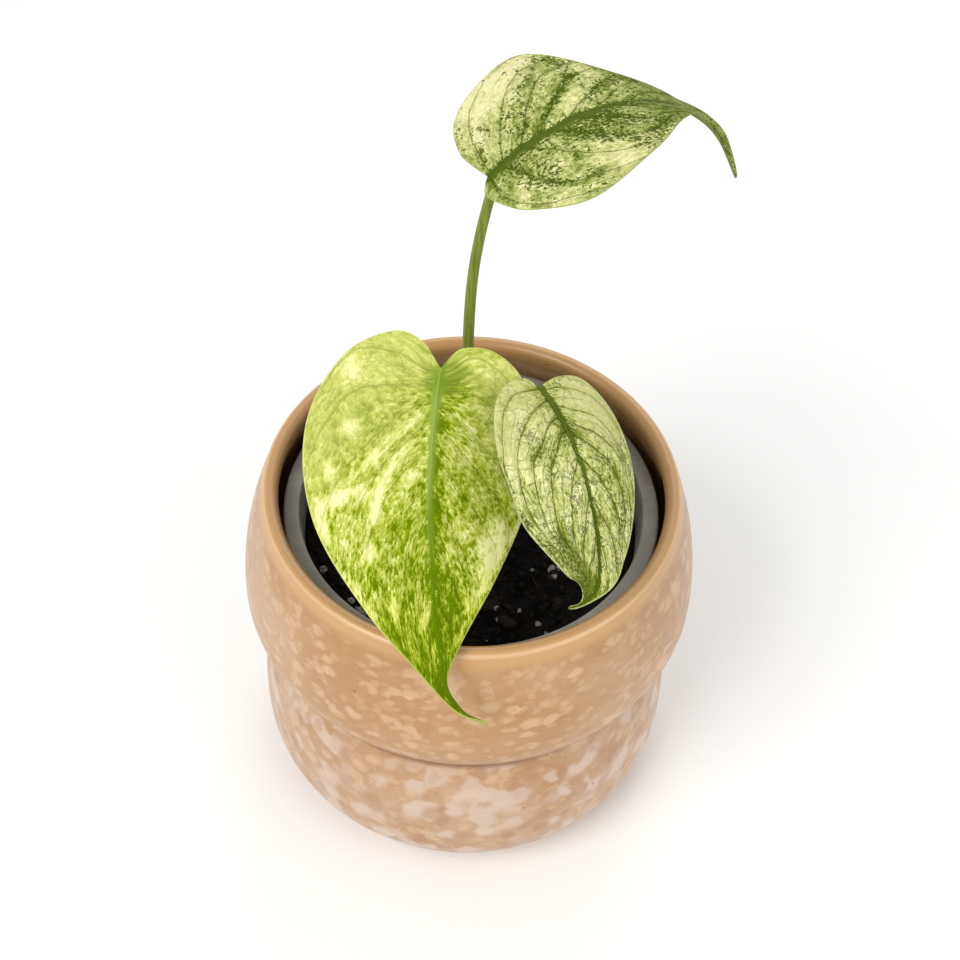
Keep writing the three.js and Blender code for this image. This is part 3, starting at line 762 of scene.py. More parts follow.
def potting_soil():
    look = Look("potting_soil", EARTH.dark, Specular_IOR_Level=0.12)
    fine = look.place(1.6).noise(5, 0.7)
    broad = look.place(0.22).noise(3)
    look.coat(EARTH.fine, fine.step(0.35, 0.72))
    look.coat(EARTH.broad, broad.step(0.45, 0.75))
    look.rough(broad * -0.3 + 1)
    look.bump(fine, 0.5)
    return look.material


def crumb_look(name, dark, light, grain):
    """One of the loose bits in the soil: a two-tone rough surface."""
    look = Look(name, dark, Specular_IOR_Level=0.15)
    tone = look.place(grain).noise(4, 0.65)
    look.coat(light, tone.step(0.35, 0.65))
    look.rough(tone * 0.2 + 0.7)
    look.bump(tone, 0.25)
    return look.material


def stalk_green():
    """Olive green skin with fine lengthwise streaks, browner at the base in the soil."""
    look = Look("stalk_green", STALK.green, Specular_IOR_Level=0.3)
    height = look.place().parts()[2]
    streak = look.place(1.5, 0.1).noise(3)
    mottle = look.place(0.9, 0.4).noise(3)
    look.coat(STALK.streak, streak.step(0.3, 0.7))
    look.coat(STALK.pale, mottle.step(0.6, 0.75) * 0.4)
    look.coat(STALK.base, height.step(SOIL.level + 10, SOIL.level + 1))
    look.rough(mottle * 0.2 + 0.3)
    look.bump(streak, 0.08)
    return look.material


def vein_offset(phase):
    """How far the phase is from the nearest vein, where it is a whole number."""
    shifted = phase.look.math("FRACT", phase + 20.5)
    return abs(shifted - 0.5)


def leaf_look(name):
    """The upper side of a blade with its variegation, and a duller, paler underside."""
    column = list(LEAVES).index(name)
    tones = SimpleNamespace(**{key: row[column] for key, row in TONES.items()})
    look = Look(name + "_leaf_skin", tones.base, Specular_IOR_Level=0.012)
    pattern, stream = look.attribute("pattern"), look.attribute("stream")
    across, along, upper = pattern.parts()
    phase, gap, edge = look.attribute("vein").parts()
    pale, dark, calm = look.attribute("marks").parts()

    # Mottling in three sizes that flows along the side veins, and a finer grain that doesn't
    medium = stream.stretched(0.4, 0.22).noise(3, 0.6)
    fine = stream.stretched(1.75, tones.streak).noise(4, 0.75)
    coarse = stream.stretched(0.1, 0.07).noise(3, 0.6)
    grain = pattern.stretched(tones.grain, tones.grain).noise(3, 0.72)
    fine_off, medium_off, coarse_off = fine - 0.5, medium - 0.5, coarse - 0.5
    mosaic = stream.stretched(1.05, 0.75).moved(fine_off * 2.2).cells("Color").parts()[0]

    # Side veins, with a darker halo
    wavy = phase + medium_off * 0.22
    from_vein = vein_offset(wavy) * gap
    halo = from_vein.step(1.6, 0.1)

    # The bands from dark to light
    bold_from, bold_to, bold_gain = tones.bold
    shade_from, shade_to, shade_gain = tones.tip_shade
    bold = (along.step(bold_from, bold_to) * bold_gain + 1) * (calm * -0.42 + 1)
    into_tip = along.step(shade_from, shade_to)
    level = fine_off * tones.fine + medium_off * tones.medium + coarse_off * tones.coarse
    level = (level + (mosaic - 0.5) * tones.mosaic) * bold + 0.5
    level = level + pale * tones.pale_gain - dark * tones.dark_gain
    level = level - halo * tones.halo_gain - into_tip * shade_gain
    for start, colour in BANDS[name].items():
        look.coat(colour, level.step(start - BAND_BLUR, start + BAND_BLUR))
    look.coat(tones.warm, calm * 0.3)

    # Dark speckles and larger blots
    speckle = grain * 1.4 + medium_off * 0.55 + coarse_off * 0.35 + dark * tones.speck_dark
    speckle = speckle - pale.larger(calm) * 0.12 + halo * 0.05 - 0.2
    speck = speckle.step(tones.speck_level, tones.speck_level + 0.05)
    strewn = pattern.stretched(0.26, 0.38).moved((grain - 0.5) * 0.9)
    chosen = strewn.cells("Color").parts()
    blot = (strewn.cells() - (chosen[1] * 0.18 + 0.07)).step(0.03, -0.03)
    blot = blot * chosen[0].step(0.5, 0.55)
    look.coat(tones.speck, speck.larger(blot * tones.blots) * tones.speck_strength)

    # Veins, the fainter ones halfway between them, and the net
    width = (edge.step(0, 14) * 0.6 + 0.75) * (fine_off * 2.6 + 1) * tones.vein_width
    main = from_vein.step(width * 1.5, width * 0.5)
    main = main * (fine.step(tones.broken, tones.broken + 0.12) * 0.65 + 0.35)
    halfway = vein_offset(wavy + 0.5) * gap
    minor = halfway.step(width * 1.1, width * 0.3) * coarse.step(0.44, 0.56)
    lines = main.larger(minor * tones.halfway) * (gap.step(0.7, 2.2) * 0.75 + 0.25)
    bent = pattern.stretched(0.36, 0.3).moved(fine_off * 0.7 + medium_off * 0.8)
    net = bent.cells(feature="DISTANCE_TO_EDGE").step(0.042, 0.01) * medium.step(0.4, 0.52)
    lines = lines.larger(net * (calm * tones.net_calm + tones.net))
    lines = lines * (calm * tones.vein_calm + tones.vein_strength)
    look.coat(tones.vein, lines)

    # The midrib, with soft ragged sides and a pale line along the middle, then the edge
    slope = (tones.midrib_tip - tones.midrib_width) / MIDRIB_TAPER
    rib_width = (along * slope + tones.midrib_width).larger(tones.midrib_tip)
    rib_width = rib_width * (dark * tones.midrib_swell + 1)
    ragged = abs(across - tones.midrib_side) + (fine_off + medium_off) * tones.feather
    soft = tones.midrib_soft
    far = along.step(*tones.far_from).larger(dark * 0.7)
    rib_tone = look.mix(far, tones.midrib, tones.midrib_far)
    look.coat(rib_tone, ragged.step(rib_width * (1 + soft), rib_width * (1 - soft)))
    look.coat(tones.centre, abs(across).step(0.18, 0.06) * along.step(32, 18) * 0.6)
    look.coat(tones.edge, edge.step(0.4, 0.15) * 0.7)

    look.coat(tones.tip_tint, into_tip, blend="MULTIPLY")
    look.coat(tones.under, (upper * -1 + 1) * 0.6)
    look.rough(medium * 0.2 + 0.34)
    look.bump(medium * 0.6 - lines * 0.7 + fine * 0.3, 0.14)
    return look.material


def piece(name, points, faces, material, slot, nodes=(), fields=()):
    """A smooth mesh from points in millimetres that rides on the body and stands for CAD nodes."""
    mesh = bpy.data.meshes.new(name)
    mesh.from_pydata((np.asarray(points, float) * MM).tolist(), [], faces)
    for field, values in dict(fields).items():
        layer = mesh.attributes.new(field, "FLOAT_VECTOR", "POINT")
        layer.data.foreach_set("vector", np.asarray(values, np.float32).ravel())
    shape = bmesh.new()
    shape.from_mesh(mesh)
    bmesh.ops.remove_doubles(shape, verts=shape.verts, dist=WELD * MM)
    bmesh.ops.recalc_face_normals(shape, faces=shape.faces)
    shape.to_mesh(mesh)
    shape.free()
    mesh.polygons.foreach_set("use_smooth", [True] * len(mesh.polygons))
    mesh.materials.append(material)
    made = show(name, mesh)
    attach(made, "root")
    if nodes:
        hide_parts(*nodes)
    return made


def show(name, data):
    """Puts a mesh, light or camera into the scene."""
    made = bpy.data.objects.new(name, data)
    bpy.context.scene.collection.objects.link(made)
    return made


def circle(count):
    """Equally spaced points on a circle of radius 1 about the Z axis."""
    angles = np.arange(count) / count * FULL_TURN
    return np.stack([np.cos(angles), np.sin(angles)], 1)


def at_height(outline, height):
    return np.column_stack([outline, np.full(len(outline), height)])


def grid_faces(rows, columns, start=0, closed=False, flip=False):
    """Quads between rows of points; closed joins the last column to the first."""
    strips = columns if closed else columns - 1
    row, column = np.meshgrid(np.arange(rows - 1), np.arange(strips), indexing="ij")
    after = (column + 1) % columns
    corners = [row * columns + column, row * columns + after,
               (row + 1) * columns + after, (row + 1) * columns + column]
    if flip:
        corners.reverse()
    return (np.stack([c.ravel() for c in corners], 1) + start).tolist()


def ring_stack(rings):
    """Closed rings of equally many points, joined one after the other and capped at both ends."""
    count = len(rings[0])
    last = (len(rings) - 1) * count
    faces = grid_faces(len(rings), count, closed=True)
    faces += [list(range(count - 1, -1, -1)), list(range(last, last + count))]
    return np.concatenate(rings), faces


def turned(profile, sectors, hollow=None):
    """A profile of [radius, height] turned about the Z axis, less what hollow(x, y, height) takes."""
    around = circle(sectors)
    rings = []
    for radius, height in profile:
        reach = np.full((sectors, 1), float(radius))
        if hollow:
            reach[:, 0] -= [hollow(x, y, height) for x, y in around]
        rings.append(at_height(around * reach, height))
    return ring_stack(rings)


def rounded(corners, steps=5):
    """A profile's corners as [radius, height, rounding], each rounded by a short curve."""
    profile = []
    for index, (radius, height, rounding) in enumerate(corners):
        corner = np.array([radius, height], float)
        if rounding == 0:
            profile.append(corner)
            continue
        before = np.array(corners[index - 1][:2]) - corner
        after = np.array(corners[index + 1][:2]) - corner
        start = corner + before / np.linalg.norm(before) * rounding
        end = corner + after / np.linalg.norm(after) * rounding
        for share in np.linspace(0, 1, steps + 1):
            profile.append((1 - share) ** 2 * start + 2 * share * (1 - share) * corner + share ** 2 * end)
    return profile


def cover_radius(height):
    """Outer radius of the cover pot at a height: lower bulge, crease, then the wider upper bulge."""
    c = COVER
    if height < c.lower_height:
        rise = 1 - height / c.lower_height
        return between(c.foot_radius, c.lower_radius, math.sqrt(1 - rise * rise))
    if height < c.crease_height:
        rise = (height - c.lower_height) / (c.crease_height - c.lower_height)
        return between(c.lower_radius, c.crease_radius, rise ** c.lower_power)
    if height < c.upper_height:
        fall = (c.upper_height - height) / (c.upper_height - c.crease_height)
        swell = (1 - fall ** (2 / c.bulge_power)) ** (c.bulge_power / 2)
        return between(c.crease_radius, c.upper_radius, swell)
    lip_reach = c.lip_thickness / 2
    rise = (height - c.upper_height) / (c.height - lip_reach - c.upper_height)
    return between(c.upper_radius, c.lip_radius + lip_reach, rise ** c.shoulder_power)


def cover_pot():
    c = COVER
    reach = c.lip_thickness / 2
    lip_height = c.height - reach
    lower, crease, upper = c.lower_height, c.crease_height, c.upper_height
    flat = [POLE, c.flat_radius]
    profile = [(radius, 0) for radius in (*flat, c.foot_radius - c.foot_round)]
    heights = [
        *(lower * (1 - np.cos(np.linspace(c.foot_turn, math.pi / 2, 20)))),
        *np.linspace(lower, crease, 40)[1:],
        *between(crease, upper, np.linspace(0, 1, 28)[1:] ** c.crease_crowding),
        *np.linspace(upper, lip_height, 36)[1:],
    ]
    profile += [(cover_radius(height), height) for height in heights]
    for angle in np.linspace(0, math.pi, 18)[1:]:
        profile.append((c.lip_radius + reach * math.cos(angle), lip_height + reach * math.sin(angle)))
    for height in np.linspace(lip_height, c.inner_corner, 60)[1:]:
        profile.append((max(c.lip_radius - reach, cover_radius(height) - c.wall), height))
    profile.append((cover_radius(lower / 2) - c.wall * c.corner_fill, c.floor + c.corner_rise))
    profile += [(radius, c.floor) for radius in (c.foot_radius, *reversed(flat))]

    def hollow(x, y, height):
        spot = Vector((x * c.waves, y * c.waves, height / c.wave_height))
        away = min(1, height / c.wobble_from)
        return c.wobble * away * (0.5 + 0.5 * noise.noise(spot))

    points, faces = turned(profile, c.sectors, hollow)
    piece("ceramic_cover_pot", points, faces, glaze(), "cover_glaze", ["ceramic_pot"])


def nursery_wall(height):
    """Inner radius of the nursery pot at a height."""
    n = NURSERY
    share = (height - NURSERY_BOTTOM) / (n.rim_height - NURSERY_BOTTOM)
    return between(n.base_radius, n.rim_radius - n.rim_width, share)


SOIL_EDGE = nursery_wall(SOIL.level) - SOIL.wall_gap


def nursery_pot():
    n = NURSERY
    wall, rim, top = n.wall, n.rim_radius, n.rim_height
    base = NURSERY_BOTTOM + n.base_lift
    under_rim = top - n.rim_thickness
    stand = nursery_wall(NURSERY_BOTTOM)
    points, faces = turned(rounded([
        (POLE, base, 0),
        (stand - n.stand_ring, base, 0.8),
        (stand - n.stand_ring, NURSERY_BOTTOM, 0.4),
        (stand + wall, NURSERY_BOTTOM, 0.5),
        (nursery_wall(under_rim) + wall, under_rim, 0.5),
        (rim - wall, under_rim, 0.4),
        (rim - wall, top - n.skirt, 0.3),
        (rim, top - n.skirt, 0.3),
        (rim, top, 0.7),
        (nursery_wall(top), top, 0.7),
        (nursery_wall(n.bend_height), n.bend_height, 0.3),
        (nursery_wall(base + wall), base + wall, 1.5),
        (POLE, base + wall, 0),
    ]), n.sectors)
    pot = piece("nursery_liner_pot", points, faces, grey_plastic(), "grey_plastic", ["nursery_pot"])
    drill = bmesh.new()
    radius = n.drain_hole_radius * MM
    for x, y in circle(n.drain_holes) * n.drain_circle:
        matrix = Matrix.Translation(Vector((x, y, base)) * MM) @ Matrix.Rotation(n.drill_turn, 4, "Z")
        bmesh.ops.create_cone(drill, cap_ends=True, segments=n.drain_hole_sides, radius1=radius,
                              radius2=radius, depth=n.base_lift * 2 * MM, matrix=matrix)
    cutter_mesh = bpy.data.meshes.new("drain_drill")
    drill.to_mesh(cutter_mesh)
    drill.free()
    cutter = show("drain_drill", cutter_mesh)
    cut = pot.modifiers.new("drain_holes", "BOOLEAN")
    cut.operation = "DIFFERENCE"
    cut.object = cutter
    bpy.context.view_layer.update()
    drilled = pot.evaluated_get(bpy.context.evaluated_depsgraph_get())
    pot.data = bpy.data.meshes.new_from_object(drilled)
    pot.modifiers.clear()
    bpy.data.objects.remove(cutter)


def soil_height(x, y):
    """Height of the soil: a little higher round the stem, with uneven low mounds, lumps and crumbs."""
    s = SOIL
    radius = math.hypot(x, y)
    dome = s.crown * (1 - (radius / SOIL_EDGE) ** 2)
    rate_x, rate_y, slant_x, slant_y = s.mound_rates
    start_x, start_y = s.mound_starts
    mounds = math.sin(x * rate_x + start_x) * math.cos(y * rate_y - start_y)
    mounds += s.slanted_mounds * math.sin(x * slant_x - y * slant_y)
    mounds *= s.relief * min(1, (SOIL_EDGE - radius) / s.level_edge)
    spot = Vector((x, y, 0))
    lumps = noise.fractal(spot * s.lump_rate, *s.lump_form)
    crumbs = noise.fractal(spot * s.crumb_rate + Vector(s.crumb_shift), *s.crumb_form)
    return s.level + dome + mounds + s.lumps * lumps + s.crumb_relief * abs(crumbs)


def soil_body():
    s = SOIL
    bottom = NURSERY_BOTTOM + NURSERY.base_lift + NURSERY.wall + AIR_GAP
    hole = STEM.radius + STEM.node_swell + AIR_GAP
    hole_bottom = STEM.bottom - AIR_GAP
    around = circle(s.sectors)
    inner = np.array(STEM.centre) + around * hole
    rings = [at_height(around * CAP, bottom)]
    for height in np.linspace(bottom, s.level - s.shoulder, s.wall_steps):
        rings.append(at_height(around * (nursery_wall(height) - s.wall_gap), height))
    for share in np.linspace(0, 1, s.rings):
        outline = between(around * SOIL_EDGE, inner, share)
        rings.append(np.array([[x, y, soil_height(x, y)] for x, y in outline]))
    rings.append(at_height(inner, s.hole_top))
    rings.append(at_height(inner, hole_bottom))
    rings.append(at_height(np.array(STEM.centre) + around * CAP, hole_bottom))
    points, faces = ring_stack(rings)
    piece("potting_soil_body", points, faces, potting_soil(), "potting_soil", ["soil"])


def lump(size, seed, flatness, roughness, detail):
    """An irregular grain: a sphere pulled about by noise, as points and triangles."""
    ball = bmesh.new()
    bmesh.ops.create_icosphere(ball, subdivisions=detail, radius=1)
    shift = Vector([seed * rate for rate in GRAIN_SHIFT])
    points = []
    for vertex in ball.verts:
        push = 1 + roughness * noise.noise(vertex.co * GRAIN_RATE + shift)
        points.append(np.array(vertex.co) * push * (size, size, size * flatness))
    faces = [[vertex.index for vertex in face.verts] for face in ball.faces]
    ball.free()
    return np.array(points), faces


def turn_about(points, tilt, spin):
    turn = Matrix.Rotation(spin, 3, "Z") @ Matrix.Rotation(tilt, 3, "X")
    return points @ np.array(turn).T


def soil_spot(margin):
    """A random place on the soil that is clear of the stem and the wall."""
    stem_x, stem_y = STEM.centre
    while True:
        radius = (SOIL_EDGE - margin) * math.sqrt(random.random())
        angle = random.random() * FULL_TURN
        x, y = radius * math.cos(angle), radius * math.sin(angle)
        if math.hypot(x - stem_x, y - stem_y) > STEM.radius + margin + STEM.clear:
            return x, y


def scattered(count, sizes, flatness, roughness, detail, sunk, stretch=1.0):
    """Grains strewn over the soil, each sunk by a share of its size."""
    grains = []
    for index in range(count):
        size = random.uniform(*sizes)
        x, y = soil_spot(size * stretch + BIT_MARGIN)
        points, faces = lump(size, index + count, flatness, roughness, detail)
        points[:, 0] *= stretch
        points = turn_about(points, random.uniform(-BIT_TILT, BIT_TILT), random.uniform(0, FULL_TURN))
        height = soil_height(x, y) + size * flatness * (1 - sunk)
        grains.append((points + [x, y, height], faces))
    return grains


def seen_perlite():
    """The perlite grains that the camera sees, at their own places."""
    grains = []
    for index, (x, y, size) in enumerate(PERLITE_SEEN):
        points, faces = lump(size, index, **PERLITE_FORM)
        height = soil_height(x, y) + size * PERLITE_RISE
        grains.append((turn_about(points, PERLITE_TILT, index) + [x, y, height], faces))
    return grains


def soil_bits():
    """The loose bits on top of the soil: dark crumbs, bark, twigs and white perlite."""
    for name, (material_name, tones, spread) in BITS.items():
        grains = scattered(**spread)
        if name == "perlite":
            grains += seen_perlite()
        faces, start = [], 0
        for points, grain_faces in grains:
            faces += [[corner + start for corner in face] for face in grain_faces]
            start += len(points)
        points = np.concatenate([points for points, grain_faces in grains])
        piece(name, points, faces, crumb_look(material_name, *tones), "potting_soil")


def curve_through(points, steps, easing):
    """A smooth curve through points. Easing 0 takes all spans alike, 0.5 slows down for long ones."""
    control = [np.array(point, float) for point in points]
    control = [2 * control[0] - control[1], *control, 2 * control[-1] - control[-2]]
    t = np.linspace(0, 1, steps, endpoint=False)[:, None]
    drawn = []
    for p0, p1, p2, p3 in zip(control, control[1:], control[2:], control[3:]):
        d0, d1, d2 = (np.linalg.norm(b - a) ** easing for a, b in ((p0, p1), (p1, p2), (p2, p3)))
        start = ((p1 - p0) / d0 - (p2 - p0) / (d0 + d1) + (p2 - p1) / d1) * d1
        end = ((p2 - p1) / d1 - (p3 - p1) / (d1 + d2) + (p3 - p2) / d2) * d1
        drawn.append(p1 + start * t + (-3 * p1 + 3 * p2 - 2 * start - end) * t ** 2
                     + (2 * p1 - 2 * p2 + start + end) * t ** 3)
    return np.concatenate([*drawn, control[-2][None]])


def evenly(points, count):
    """The same line with equal steps."""
    lengths = np.concatenate([[0], np.cumsum(np.linalg.norm(np.diff(points, axis=0), axis=1))])
    at = np.linspace(0, lengths[-1], count)
    return np.stack([np.interp(at, lengths, column) for column in points.T], 1)


def sweep(line, radius_at, sides):
    """A round tube along a line. radius_at(share, angles) is its radius; its far end is domed."""
    along = np.gradient(line, axis=0)
    along /= np.linalg.norm(along, axis=1)[:, None]
    side = np.cross(along[0], SEAM_SIDE)
    angles = np.arange(sides) / sides * FULL_TURN
    shares = np.linspace(0, 1, len(line))
    rings = []
    for place, direction, share in zip(line, along, shares):
        side = side - direction * (side @ direction)
        side /= np.linalg.norm(side)
        around = circle(sides) @ [side, np.cross(direction, side)]
        rings.append(place + radius_at(share, angles)[:, None] * around)
    tip = rings[-1].mean(0)
    domes = [tip + (rings[-1] - tip) * shrink + along[-1] * rise for shrink, rise in TUBE_DOME]
    return ring_stack(rings + domes)


def stem_body(material):
    s = STEM
    bottom, top = s.bottom, s.top
    line = np.linspace([*s.centre, bottom], [*s.centre, top], s.steps)

    def radius_at(share, angles):
        height = between(bottom, top, share)
        swell = sum(s.node_swell * math.exp(-((height - node) ** 2) / s.node_spread)
                    for node in s.node_heights)
        taper = max(0, (height - s.node_heights[1]) / (top - s.node_heights[1]))
        ribs = s.rib_height * np.cos(s.ribs * angles + height * s.rib_twist)
        return between(s.radius, s.top_radius, taper ** 2) + swell + ribs

    points, faces = sweep(line, radius_at, s.sides)
    points[:, 2] = np.minimum(points[:, 2], top)
    piece("main_stem", points, faces, material, "stalk", ["stem"])


def midrib(leaf):
    """Points and directions along a leaf's midrib, from its heading, droop and roll."""
    share = np.linspace(0, 1, BLADE.midrib_steps + 1)
    tail_start, tail_reach = leaf["tail"]
    tail = smooth_step((share - tail_start) / tail_reach)
    heading, droop = (np.radians(leaf[key][0] + leaf[key][1] * share + leaf[key][2] * tail)
                      for key in ("heading", "droop"))
    roll = np.radians(leaf["roll"][0] + leaf["roll"][1] * share)[:, None]
    along = np.stack([np.cos(droop) * np.sin(heading), -np.cos(droop) * np.cos(heading), -np.sin(droop)], 1)
    level = np.stack([np.cos(heading), np.sin(heading), 0 * heading], 1)
    across = np.cos(roll) * level + np.sin(roll) * np.cross(along, level)
    steps = (along[1:] + along[:-1]) / 2 * leaf["length"] / BLADE.midrib_steps
    place = np.array(leaf["base"]) + np.concatenate([np.zeros((1, 3)), np.cumsum(steps, 0)])
    return {"place": place, "along": along, "across": across, "up": np.cross(along, across)}


def blade_point(leaf, frames, x, y):
    """From the flat pattern of a blade to its place: folded at the midrib, then cupped over."""
    scaled = np.clip(y / leaf["length"], 0, 1) * BLADE.midrib_steps
    step = np.minimum(scaled.astype(int), BLADE.midrib_steps - 1)
    share = (scaled - step)[..., None]
    place, across, up = (between(frames[key][step], frames[key][step + 1], share)
                         for key in ("place", "across", "up"))
    fold = math.radians(leaf["fold"])
    turn = math.radians(leaf["cup"]) / (leaf["length"] * BLADE.cup_reach)
    reach = np.abs(x)
    out = (np.sin(fold) - np.sin(fold - turn * reach)) / turn
    lift = (np.cos(fold - turn * reach) - np.cos(fold)) / turn
    return (place + frames["along"][0] * np.minimum(y, 0)[..., None]
            + across * (np.sign(x) * out)[..., None] + up * lift[..., None])


def blade_normal(leaf, frames, x, y):
    nudge = BLADE.nudge
    across = blade_point(leaf, frames, x + nudge, y) - blade_point(leaf, frames, x - nudge, y)
    along = blade_point(leaf, frames, x, y + nudge) - blade_point(leaf, frames, x, y - nudge)
    normal = np.cross(along, across)
    return normal / np.linalg.norm(normal, axis=-1)[..., None]


def half_pattern(leaf, outline, side):
    """The flat pattern of one half: rows from the midrib to the edge, fanning out at the base."""
    b = BLADE
    curve = curve_through(np.array(outline, float) * (side, 1), b.outline_steps, 0)
    rim = evenly(curve, b.rows + 1)
    into_tip = np.clip((rim[:, 1] - rim[-1, 1]) / b.tip_round + 1, 0, 1)
    rim[:, 0] *= np.sqrt(1 - b.tip_narrowing * into_tip ** 2)
    share = np.linspace(0, 1, b.rows + 1)[:, None]
    even = np.linspace(0, 1, b.columns + 1)
    column = (even - b.crowding * np.sin(FULL_TURN * even) / FULL_TURN)[None]
    run = np.maximum(0, (share - b.fan_share) / (1 - b.fan_share))
    root = leaf["length"] * run ** b.vein_sweep
    bow = b.vein_bow * np.abs(rim[:, :1]) * np.sin(math.pi * share)
    x = rim[:, :1] * column
    y = between(root, rim[:, 1:], column) - bow * np.sin(math.pi * column)
    return x, y, column + 0 * share


def vein_phase(veins, x, y):
    """A smooth field on the flat pattern that is 0 on the first vein, 1 on the next, and so on."""
    knots = np.concatenate([np.array(vein, float) for vein in veins])
    values = np.concatenate([np.full(len(vein), float(index)) for index, vein in enumerate(veins)])
    count = len(knots)

    def pull(points):
        square = ((points[:, None] - knots) ** 2).sum(-1)
        return square * np.log(square + TINY)

    plane = np.column_stack([np.ones(count), knots])
    system = np.block([[pull(knots), plane], [plane.T, np.zeros((3, 3))]])
    weights = np.linalg.solve(system, np.concatenate([values, np.zeros(3)]))
    points = np.stack([x.ravel(), y.ravel()], 1)
    field = pull(points) @ weights[:count] + weights[count] + points @ weights[count + 1:]
    return field.reshape(x.shape)


def gap_between(points, phase):
    """Millimetres from one whole number of the phase to the next, at each point of a grid."""
    along_rows, along_columns = np.gradient(points, axis=0), np.gradient(points, axis=1)
    g11 = (along_rows ** 2).sum(-1)
    g12 = (along_rows * along_columns).sum(-1)
    g22 = (along_columns ** 2).sum(-1)
    p1, p2 = np.gradient(phase, axis=0), np.gradient(phase, axis=1)
    area = np.maximum(g11 * g22 - g12 ** 2, TINY)
    spread = (g22 * p1 ** 2 - 2 * g12 * p1 * p2 + g11 * p2 ** 2) / area
    return np.clip(1 / np.sqrt(np.maximum(spread, TINY)), *BLADE.gap_limits)


def patches(marks, x, y):
    """Soft ellipses on the flat pattern, added up to at most 1."""
    total = np.zeros_like(x)
    for centre_x, centre_y, half_width, half_length, turn, strength in marks:
        angle = math.radians(turn)
        u = (x - centre_x) * math.cos(angle) + (y - centre_y) * math.sin(angle)
        v = (y - centre_y) * math.cos(angle) - (x - centre_x) * math.sin(angle)
        distance = (u / half_width) ** 2 + (v / half_length) ** 2
        total += strength * np.exp(-PATCH_FADE * distance ** PATCH_FLATNESS)
    return np.minimum(total, 1)


def leaf_blade(name):
    leaf = LEAVES[name]
    frames = midrib(leaf)
    sheets, faces, start = [], [], 0
    fields = {"pattern": [], "stream": [], "vein": [], "marks": []}
    for half, side in (("left", -1), ("right", 1)):
        x, y, column = half_pattern(leaf, leaf[half], side)
        middle = blade_point(leaf, frames, x, y)
        normal = blade_normal(leaf, frames, x, y)
        phase = vein_phase(leaf["veins_" + half], x, y)
        gap = gap_between(middle, phase)
        half_width = np.linalg.norm(middle[:, -1:] - middle[:, :1], axis=-1)
        from_edge = (1 - column) * np.maximum(half_width, BLADE.edge_reach)
        relief = top_relief(leaf, x, y, phase, gap, from_edge)
        top = middle + normal * (relief - BLADE.sink)[..., None]
        under = top - normal * blade_thickness(leaf, x, y, from_edge)[..., None]
        onward = (np.abs(x) + y) * math.sqrt(0.5)
        stream = np.stack([phase * VEIN_STRIDE, onward, np.full_like(x, SIDE_SHIFT * side)], -1)
        vein = np.stack([phase, gap, from_edge], -1)
        marks = np.stack([patches(PATCHES[name][kind], x, y) for kind in ("pale", "dark", "calm")], -1)
        for upper, sheet in ((1, top), (0, under)):
            sheets.append(sheet.reshape(-1, 3))
            faces += grid_faces(*x.shape, start + (1 - upper) * x.size, flip=(side > 0) == bool(upper))
            pattern = np.stack([x, y, np.full_like(x, upper)], -1)
            for field, values in zip(fields, (pattern, stream, vein, marks)):
                fields[field].append(values.reshape(-1, 3))
        index = np.arange(x.size).reshape(x.shape) + start
        border = [*index[0, :-1].tolist(), *index[:-1, -1].tolist(), *index[-1, ::-1].tolist()]
        for first, second in zip(border, border[1:]):
            quad = [first, second, second + x.size, first + x.size]
            faces.append(quad[::side])
        start += 2 * x.size
    fields = {field: np.concatenate(values) for field, values in fields.items()}
    points = np.concatenate(sheets)
    piece(name + "_leaf_blade", points, faces, leaf_look(name), leaf["slot"], ["leaf_" + name], fields)


def wave(value, rate, start):
    return np.sin(value * rate + start)


def top_relief(leaf, x, y, phase, gap, from_edge):
    """How far the upper side stands out: quilted between the veins, with the midrib's own form."""
    b = BLADE
    fade = 1 - b.crest_fade * np.clip(y / leaf["length"], 0, 1)
    apart = np.abs(phase - np.round(phase)) * gap
    inside = smooth_step(np.abs(x) / b.flat_by_rib) * smooth_step(from_edge / b.flat_by_edge)
    cushion = (0.5 - 0.5 * np.cos(FULL_TURN * phase)) * np.minimum(1, gap / b.quilted_gap)
    groove = leaf["groove"] * np.exp(-(apart / b.groove_width) ** 2)
    crest = leaf["rib_rise"] * fade * np.exp(-(x / b.crest_width) ** 2)
    waves = b.ripple * wave(x, *b.ripple_across) * wave(y, *b.ripple_along)
    return crest + (leaf["quilt"] * cushion * b.quilt_share - groove + waves) * inside


def blade_thickness(leaf, x, y, from_edge):
    """Even, with the midrib standing out below it, and thin at the edge."""
    b = BLADE
    ridge = np.sqrt(np.maximum(0, 1 - (x / b.rib_half_width) ** 2))
    fade = 1 - b.rib_fade * np.clip(y / leaf["length"], 0, 1)
    start, reach = b.rib_start
    thin = np.sqrt(np.clip((from_edge + b.edge_start) / b.edge_reach, 0, 1))
    return (b.thickness + b.rib_depth * ridge * fade * smooth_step((y + start) / reach)) * thin


